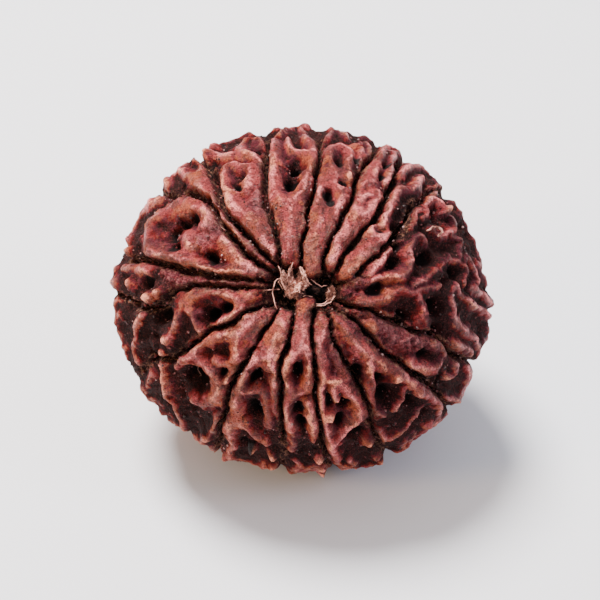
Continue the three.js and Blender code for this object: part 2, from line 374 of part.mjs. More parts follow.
// A point by its angle from the stalk end and its angle round the stone, in degrees
function polar(fromStalk, round) {
  const t = THREE.MathUtils.degToRad(fromStalk);
  const r = THREE.MathUtils.degToRad(round);
  return bodyPoint(new THREE.Vector3(Math.sin(t) * Math.cos(r), Math.sin(t) * Math.sin(r), Math.cos(t)));
}

// A smooth path through the points, as short straight steps that carry the width
const STEP = 0.45;
function path(points, widths) {
  const curve = new THREE.CatmullRomCurve3(points, false, "centripetal");
  const count = Math.max(1, Math.ceil(curve.getLength() / STEP));
  const last = points.length - 1;
  const steps = Array.from({ length: count + 1 }, (_, i) => {
    const along = (i / count) * last;
    const k = Math.min(last - 1, Math.floor(along));
    const width = THREE.MathUtils.lerp(widths[k], widths[k + 1], along - k);
    return { at: curve.getPoint(i / count), width };
  });
  const round = new THREE.Sphere().setFromPoints(steps.map((step) => step.at));
  return { steps, middle: round.center, reach: round.radius };
}

const ridges = Object.values(RIDGES)
  .flat()
  .map((stroke) => path(stroke.map(([u, v]) => seen(u, v)), stroke.map((p) => p[2])));
const knobs = KNOBS.map(([u, v, width]) => ({ at: seen(u, v), width }));
const pits = PITS.map(([u, v, width]) => ({ at: seen(u, v), width }));
const outcrops = OUTCROPS.map(([u, v, reach, height]) => ({ at: seen(u, v), reach, height }));
const seams = SEAMS.map((line, i) => path(line.map(([u, v]) => seen(u, v)), line.map(() => SEAM_WIDTHS[i])));

// The hidden half: each seam runs on to the tip, and each face between two seams carries one ridge at the
// tip end, which forks into rails that cross bars join round the pits.
const RIM = 84; // degrees from the stalk end where the drawn seams stop
const RAIL_END = 77; // the rails run on a little under the drawn ridges
const TIP_END = 171;
const RIM_KNOBS = 2;
const draw = drawer(RULE_SEED);

function spread(middle, reach) {
  return middle + (draw() * 2 - 1) * reach;
}

const seamStarts = seams
  .map((line) => toBall(line.steps.at(-1).at))
  .map((ball) => THREE.MathUtils.radToDeg(Math.atan2(ball.y, ball.x)))
  .sort((a, b) => a - b);
const faceCount = seamStarts.length;
const sway = seamStarts.map(() => ({ reach: spread(2.2, 1.2), turn: spread(0, 180), even: 0 }));
seamStarts.forEach((start, i) => {
  const evenPlace = seamStarts[0] + (i * 360) / faceCount;
  sway[i].even = evenPlace - start;
});

// Angle round the stone of seam i at an angle from the stalk end
function seamRound(i, fromStalk) {
  const lap = Math.floor(i / faceCount) * 360;
  const s = sway[i % faceCount];
  const share = smooth(RIM, 150, fromStalk) * 0.6;
  const swing = Math.sin(THREE.MathUtils.degToRad(fromStalk * 5 + s.turn));
  const wave = s.reach * swing * smooth(RIM, 100, fromStalk);
  return seamStarts[i % faceCount] + lap + s.even * share + wave;
}

function facePoint(face, share, fromStalk) {
  const low = seamRound(face, fromStalk);
  const high = seamRound(face + 1, fromStalk);
  return polar(fromStalk, low + (high - low) * share);
}

function addRidge(face, places) {
  ridges.push(path(places.map(([share, t]) => facePoint(face, share, t)), places.map((p) => p[2])));
}

for (let face = 0; face < faceCount; face++) {
  const along = [];
  for (let t = RIM + 1; t <= TIP_END; t += 4) along.push(polar(t, seamRound(face, t)));
  seams.push(path(along, along.map(() => FURROW_WIDTH)));

  const fork = spread(140, 6);
  const middle = spread(0.5, 0.06);
  addRidge(face, [
    [middle, 172, 0.8],
    [spread(0.5, 0.08), 164, 1.1],
    [spread(0.5, 0.08), (164 + fork) / 2, 1.5],
    [middle, fork, 1.9],
  ]);
  const wide = seamRound(face + 1, 100) - seamRound(face, 100) > 33;
  const rails = wide ? [0.17, 0.5, 0.83] : [0.26, 0.74];
  const bars = [spread(127, 2), spread(112, 3), spread(97, 3), spread(84, 2)];
  for (const rail of rails) {
    const places = [[(rail + middle) / 2, fork - 1, 1.2]];
    for (let t = fork - 7; t > RAIL_END; t -= spread(7.5, 1)) {
      places.push([spread(rail, 0.07), t, spread(1.15, 0.35)]);
    }
    addRidge(face, places);
  }
  for (const bar of bars) {
    const lean = spread(0, 4);
    const first = Math.floor(draw() * (rails.length - 1));
    addRidge(face, [
      [rails[first], bar - lean, 1.0],
      [(rails[first] + rails[first + 1]) / 2, bar, spread(1.1, 0.3)],
      [rails[first + 1], bar + lean, 1.0],
    ]);
  }
  const rimKnobs = RIM_KNOBS + (wide ? 1 : 0);
  for (let k = 0; k < rimKnobs; k++) {
    const at = facePoint(face, spread((k + 0.5) / rimKnobs, 0.1), spread(80, 4));
    knobs.push({ at, width: spread(1.5, 0.4) });
  }
  for (let i = 0; i < bars.length - 1; i++) {
    const t = (bars[i] + bars[i + 1]) / 2;
    const place = { at: facePoint(face, spread(0.5, 0.05), t), width: spread(1.0, 0.25) };
    (draw() < 0.4 ? knobs : pits).push(place);
  }
}

// The net of ridges that the stone lies on
const REST_NET = [
  [[-4.6, -2.6, 1.4], [-2.6, -1.2, 1.5], [0, 0, 2.6], [2.6, -1.4, 1.5], [4.4, -3.0, 1.4]],
  [[-3.6, 3.6, 1.4], [-1.8, 1.8, 1.5], [0, 0, 2.6], [2.0, 2.0, 1.5], [3.4, 3.8, 1.4]],
  [[0, 0, 2.0], [0.2, -2.4, 1.4], [-0.2, -4.6, 1.4]],
  [[-2.6, -1.2, 1.2], [-2.9, 0.6, 1.1], [-1.8, 1.8, 1.2]],
  [[2.6, -1.4, 1.2], [3.1, 0.4, 1.1], [2.0, 2.0, 1.2]],
];
for (const stroke of REST_NET) {
  ridges.push(path(stroke.map(([x, y]) => under(x, y)), stroke.map((p) => p[2])));
}

// The nearest place on a path to a point, its distance and the path's width there, or null past a reach
const chord = new THREE.Line3();
const spot = new THREE.Vector3();
function nearest({ steps, middle, reach }, point, margin) {
  if (middle.distanceTo(point) > reach + margin) return null;
  let best = { gap: Infinity, width: 0 };
  for (let i = 0; i < steps.length - 1; i++) {
    chord.set(steps[i].at, steps[i + 1].at);
    const t = chord.closestPointToPointParameter(point, true);
    const gap = chord.at(t, spot).distanceTo(point);
    const width = THREE.MathUtils.lerp(steps[i].width, steps[i + 1].width, t);
    if (gap - width / 2 < best.gap - best.width / 2) best = { gap, width, at: spot.clone() };
  }
  return best;
}

// How far a ridge of a width stands up at a distance from its middle: a round crest on a long skirt
function ridgeRise({ gap, width }) {
  const crest = 1 - smooth(-width * 0.1, width / 2 + FLANK, gap);
  const skirt = 1 - smooth(width * 0.25, width / 2 + SKIRT, gap);
  return CREST_SHARE * crest + (1 - CREST_SHARE) * skirt;
}

// Smooth unevenness, from -1 to 1, with lumps of about a size
function uneven(point, size) {
  const s = (Math.PI * 2) / size;
  const { x, y, z } = point;
  const a = Math.sin(x * s + 1.7 * Math.sin(y * s * 0.61 + 0.3));
  const b = Math.sin(y * s * 1.13 + 1.5 * Math.sin(z * s * 0.53 + 1.9));
  const c = Math.sin(z * s * 0.91 + 1.6 * Math.sin(x * s * 0.67 + 4.1));
  return (a + b + c) / 3;
}

const hollowPlace = seen(...HOLLOW_CENTRE);
const tipPlace = polar(180, 0);
const restPlace = under(...REST_BULGE_PLACE);

// 1 on the band round the widest way, and 0 past its edges
function atRim(point) {
  const fromStalk = THREE.MathUtils.radToDeg(Math.acos(toBall(point).normalize().z));
  const entering = smooth(RIM_FILL_FROM[0], RIM_FILL_FULL[0], fromStalk);
  return entering * (1 - smooth(RIM_FILL_FULL[1], RIM_FILL_FROM[1], fromStalk));
}

// Height of the surface at a point of the body, measured from the ridge tops
function relief(point) {
  let ground = -GROUND_DEPTH + GRAIN_DEPTH * uneven(point, 2.3);
  let pit = 0;
  for (const { at, width } of pits) {
    pit = Math.max(pit, 1 - smooth(width * 0.22, width / 2 + 0.4, at.distanceTo(point)));
  }
  ground -= (PIT_DEPTH - GROUND_DEPTH) * pit;

  let stood = 0;
  let close = 0;
  for (const ridge of ridges) {
    const near = nearest(ridge, point, SKIRT + 1.5);
    if (!near) continue;
    stood += ridgeRise(near) ** 6;
    close = Math.max(close, 1 - smooth(near.width / 2, near.width / 2 + FLANK, near.gap));
  }
  for (const { at, width } of knobs) stood += ridgeRise({ gap: at.distanceTo(point), width }) ** 6;
  const rim = atRim(point);
  const up = Math.max(Math.min(1, stood ** (1 / 6)), RIM_FILL * rim);
  let level = ground * (1 - up) + CREST_WAVE * uneven(point, 5.1) * up;

  let cut = 0;
  for (const seam of seams) {
    const near = nearest(seam, point, FURROW_WIDTH);
    if (near) cut = Math.max(cut, 1 - smooth(0.05, near.width / 2 + FURROW_EDGE, near.gap));
  }
  level += (-FURROW_DEPTH - level) * cut * (0.95 - 0.3 * up) * (1 - RIM_SHALLOW * rim);

  const fromHollow = hollowPlace.distanceTo(point);
  level -= STALK_DIP * (1 - smooth(0, STALK_DIP_RADIUS, fromHollow));
  const [edgeIn, edgeOut] = HOLLOW_EDGE;
  const hollow = 1 - smooth(HOLLOW_RADIUS * edgeIn, HOLLOW_RADIUS * edgeOut, fromHollow);
  level += (-HOLLOW_DEPTH - STALK_DIP - level) * hollow * (1 - close);
  const fromTip = tipPlace.distanceTo(point);
  level -= TIP_DIP * (1 - smooth(0, TIP_DIP_RADIUS, fromTip));
  level -= TIP_PIT_DEPTH * (1 - smooth(0, TIP_PIT_RADIUS, fromTip));
  level += REST_BULGE * (1 - smooth(0, REST_BULGE_RADIUS, restPlace.distanceTo(point)));
  for (const { at, reach, height } of outcrops) {
    level += height * (1 - smooth(reach * 0.3, reach, at.distanceTo(point)));
  }
  return level;
}

// The direction of a corner of the skin, drawn onto the seam or the ridge line that it lies close to
function settled(direction) {
  const point = bodyPoint(direction);
  for (const [lines, reach] of [[seams, SEAM_SNAP], [ridges, RIDGE_SNAP]]) {
    let best = { gap: reach };
    for (const line of lines) {
      const near = nearest(line, point, reach);
      if (near && near.gap < best.gap) best = near;
    }
    if (best.at) return toBall(best.at).normalize();
  }
  return direction;
}

// A closed skin over the whole body, at a height above the relief
function skin(extra) {
  const ball = new THREE.IcosahedronGeometry(1, MESH_DETAIL);
  ball.deleteAttribute("normal");
  ball.deleteAttribute("uv");
  const geometry = mergeVertices(ball, 1e-4);
  const place = geometry.getAttribute("position");
  for (let i = 0; i < place.count; i++) {
    const direction = settled(new THREE.Vector3().fromBufferAttribute(place, i).normalize());
    const foot = bodyPoint(direction);
    foot.addScaledVector(bodyNormal(direction), relief(foot) + extra);
    place.setXYZ(i, foot.x, foot.y, foot.z);
  }
  return geometry;
}

const wasm = await Module();
wasm.setup();

function solid(geometry) {
  const bare = geometry.clone();
  for (const name of Object.keys(bare.attributes)) if (name !== "position") bare.deleteAttribute(name);
  const merged = mergeVertices(bare, 1e-5);
  const vertProperties = new Float32Array(merged.getAttribute("position").array);
  const triVerts = new Uint32Array(merged.index.array);
  return new wasm.Manifold(new wasm.Mesh({ numProp: 3, vertProperties, triVerts }));
}

function toGeometry(manifold) {
  const mesh = manifold.getMesh();
  const geometry = new THREE.BufferGeometry();
  geometry.setAttribute("position", new THREE.BufferAttribute(new Float32Array(mesh.vertProperties), 3));
  geometry.setIndex(new THREE.BufferAttribute(new Uint32Array(mesh.triVerts), 1));
  return geometry;
}

// The stone, cut level where it lies
const CUTTER = 20;
const floor = new THREE.BoxGeometry(CUTTER, CUTTER, CUTTER).translate(0, 0, -REST_HEIGHT - CUTTER / 2);
const stone = solid(skin(0)).subtract(solid(floor));

// The dried stalk fibres: a matted tuft, and strands that lie in and out of the hollow
const MATS = [
  // right, up, across, along, turned by (degrees), and height
  [-0.6, 1.95, 1.5, 2.0, 15, 1.4],
  [-0.5, 1.0, 2.3, 1.6, -20, 1.3],
  [2.7, 0.65, 0.9, 1.4, -15, 1.0],
  [1.4, 0.9, 1.9, 0.9, 12, 0.6],
];
const STRANDS = [
  // right, up, and height above the hollow's floor
  [[-1.9, 1.8, 0.9], [-2.3, 1.3, 1.1], [-2.45, 0.5, 1.1], [-2.3, -0.2, 1.2], [-2.0, -0.9, 1.5]],
  [[-1.6, 0.9, 0.9], [-2.45, 0.8, 1.1], [-3.2, 0.7, 1.4]],
  [[-0.9, 1.6, 1.1], [-0.3, 2.3, 1.1], [0.0, 3.0, 1.4]],
  [[0.0, 0.6, 0.8], [1.3, -0.35, 0.9], [2.2, -0.3, 0.9], [3.0, 0.0, 1.0], [2.8, 0.7, 0.9]],
  [[-1.2, 1.9, 1.1], [-1.0, 2.9, 1.3], [-0.8, 3.4, 1.5]],
  [[-0.4, 1.0, 1.0], [0.7, 1.3, 0.9], [1.6, 0.8, 0.9], [2.5, 0.9, 0.9]],
  [[-1.5, 0.6, 1.0], [-0.6, -0.1, 1.1], [0.2, 0.3, 0.9], [1.0, 0.8, 0.8]],
  [[-1.8, 1.1, 1.2], [-0.8, 1.5, 1.6], [0.2, 1.2, 1.3], [0.9, 1.6, 1.0]],
];
const STRAND_RADIUS = 0.2;
const HOLLOW_FLOOR = HOLLOW_DEPTH + STALK_DIP;

function inHollow(u, v, height) {
  const place = seen(u, v);
  return place.addScaledVector(bodyNormal(toBall(place)), height - HOLLOW_FLOOR);
}

function mat([u, v, wide, long, turn, height]) {
  const geometry = new THREE.IcosahedronGeometry(0.5, 3);
  geometry.scale(wide, long, height);
  geometry.rotateZ(THREE.MathUtils.degToRad(turn));
  const place = inHollow(u, v, height * 0.45);
  geometry.applyQuaternion(new THREE.Quaternion().setFromUnitVectors(UP, bodyNormal(toBall(seen(u, v)))));
  return geometry.translate(place.x, place.y, place.z);
}

function strand(points) {
  const curve = new THREE.CatmullRomCurve3(points.map((p) => inHollow(...p)), false, "centripetal");
  const section = new THREE.Shape();
  for (let i = 0; i < FIBRE_SIDES; i++) {
    const a = (i / FIBRE_SIDES) * Math.PI * 2;
    const [x, y] = [STRAND_RADIUS * Math.cos(a), STRAND_RADIUS * Math.sin(a)];
    if (i === 0) section.moveTo(x, y);
    else section.lineTo(x, y);
  }
  section.closePath();
  return new THREE.ExtrudeGeometry(section, { extrudePath: curve, steps: 7, bevelEnabled: false });
}

let fibres = MATS.map((one) => solid(mat(one))).reduce((all, one) => all.add(one));
for (const points of STRANDS) fibres = fibres.add(solid(strand(points)));
fibres = fibres.subtract(solid(skin(FIBRE_GAP)));
const largest = fibres.decompose().reduce((a, b) => (a.volume() > b.volume() ? a : b));

function piece(name, manifold, color, roughness) {
  const material = new THREE.MeshStandardMaterial({ color, roughness, metalness: 0 });
  const mesh = new THREE.Mesh(toGeometry(manifold), material);
  mesh.name = name;
  mesh.position.z = REST_HEIGHT;
  return mesh;
}

const seed = new THREE.Group();
seed.add(piece("seed", stone, 0x8a4a3c, 0.55));
seed.add(piece("stalk_fibres", largest, 0xb59a80, 0.85));

export default seed;
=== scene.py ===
"""A large many-faced rudraksha seed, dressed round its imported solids.

The stone's relief is drawn as strokes on its body, and the finer skin here follows the same strokes.
"""

import json
import math

import bmesh
import bpy
import numpy as np
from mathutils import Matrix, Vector, noise

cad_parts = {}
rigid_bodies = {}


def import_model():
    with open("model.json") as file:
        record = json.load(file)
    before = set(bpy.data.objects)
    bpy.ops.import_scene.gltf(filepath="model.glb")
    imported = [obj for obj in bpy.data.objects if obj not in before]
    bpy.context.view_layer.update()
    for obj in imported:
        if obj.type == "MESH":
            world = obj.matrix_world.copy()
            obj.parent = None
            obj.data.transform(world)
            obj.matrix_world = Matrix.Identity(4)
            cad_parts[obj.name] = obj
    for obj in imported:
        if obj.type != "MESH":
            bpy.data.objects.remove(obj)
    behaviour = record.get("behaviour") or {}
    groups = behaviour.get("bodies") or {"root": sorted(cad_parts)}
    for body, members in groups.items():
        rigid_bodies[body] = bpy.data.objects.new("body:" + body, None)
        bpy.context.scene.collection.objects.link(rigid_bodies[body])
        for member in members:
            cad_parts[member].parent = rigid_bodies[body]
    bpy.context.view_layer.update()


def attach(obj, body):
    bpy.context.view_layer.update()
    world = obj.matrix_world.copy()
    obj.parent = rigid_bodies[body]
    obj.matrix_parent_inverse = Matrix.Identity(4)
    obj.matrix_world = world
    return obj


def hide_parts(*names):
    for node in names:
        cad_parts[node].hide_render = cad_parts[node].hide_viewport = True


bl_info = {
    "name": "Rudraksha seed",
    "version": (1, 0, 0),
    "blender": (4, 5, 0),
    "location": "View3D > Sidebar > Rudraksha",
    "description": "Builds a rudraksha seed with its net of ridges, its stalk fibres and a plain stage",
    "category": "Object",
}

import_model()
MM = 0.001

# Lie of the stone, in degrees, and the place of its middle, in millimetres
STALK_RISE = 44
REST_HEIGHT = 12.72
PLACE = (0.0, 0.0, REST_HEIGHT)

# The relief below the ridge tops, in millimetres, with its shares between 0 and 1
GROUND_DEPTH = 1.05
PIT_DEPTH = 2.4
FURROW_DEPTH = 2.3
FLANK = 0.4
SKIRT = 1.5
CREST_SHARE = 0.58
FURROW_WIDTH = 0.7
FURROW_SHARE = 0.86
RIM_FILL = 0.4
RIM_SHALLOW = 0.45
CREST_WAVE = 0.26
STALK_DIP = 0.8
STALK_DIP_RADIUS = 5.2
HOLLOW_DEPTH = 2.1
HOLLOW_RADIUS = 2.5
HOLLOW_CENTRE = (0.3, 1.05)
HOLLOW_EDGE = (0.85, 1.3)
TIP_DIP = 1.0
TIP_DIP_RADIUS = 4.5
TIP_PIT_DEPTH = 1.2
TIP_PIT_RADIUS = 1.6
REST_BULGE = 0.45
REST_BULGE_RADIUS = 3.4
REST_BULGE_PLACE = (0.0, 2.2)

# Inner ends of the seams: how far they run on towards the hollow, their share of the full width there, and
# its gain with each point outwards
SEAM_INSET = 0.3
SEAM_START = 0.6
SEAM_GAIN = 0.08

# The relief of the stalk end is drawn as seen from a point in front and above
SIGHT_RISE = 40
SIGHT_DISTANCE = 160
PATH_STEP = 0.45

# The rule of the hidden half: angles from the stalk end in degrees, and how far each may stray
RULE_SEED = 16
RIM = 84
RAIL_END = 77
TIP_END = 171
FORK = (140, 6)
BARS = ((127, 2), (112, 3), (97, 3), (84, 2))

# Rails stand at these shares of a face's width. A face broader than this many degrees has three.
BROAD_FACE = 33
RAILS = (0.26, 0.74)
BROAD_RAILS = (0.17, 0.5, 0.83)

# Knobs: height in millimetres, its share on the hidden half, how many stand at each face's rim, and their
# share of the places between two bars, where the others are pits
KNOB_HEIGHT = 0.4
HIDDEN_KNOB_SHARE = 0.7
RIM_KNOBS = 2
KNOB_SHARE = 0.4

# Heights of the finer skin, in millimetres
GROUND_WAVE = 0.2
CRUMB_HEIGHT = 0.45
KNOT_HEIGHT = 0.2
DULL_DEPTH = 0.4
DULL_GRAIN = 0.45

# Width of the ridges as a share of the drawn one, and its unevenness
WIDTH_SWELL = 1.1
WIDTH_SWAY = 0.3

# Ridges that meet are joined by adding this power of their heights. A crown reaches this far past its ridge.
MERGE_POWER = 6
CROWN_REACH = 0.45

# Bands of the rim, in degrees from the stalk end: where they begin, are full, begin to fade and end
RIM_BAND = (68, 82, 98, 112)
# The band of painted shade towards the rim, and its strength
SHADE_BAND = (56, 76, 100, 120)
RIM_SHADE = 0.85

# Unevenness of the strokes' edges: size and reach in millimetres, and a shift of the lumps for each way
SWAYS = (
    (1.7, 0.24, (0.0, 31.7, 77.1)),
    (0.55, 0.1, (3.0, 41.7, 87.1)),
)

# Rounds of blurring that give a point's wider, near and nearest surroundings
BLUR_ROUNDS = (46, 9, 2)

# Cells along an edge of the cube that the mesh is spread from, and its pull towards the stalk end
CUBE_CELLS = 128
FRONT_DENSITY = 0.25

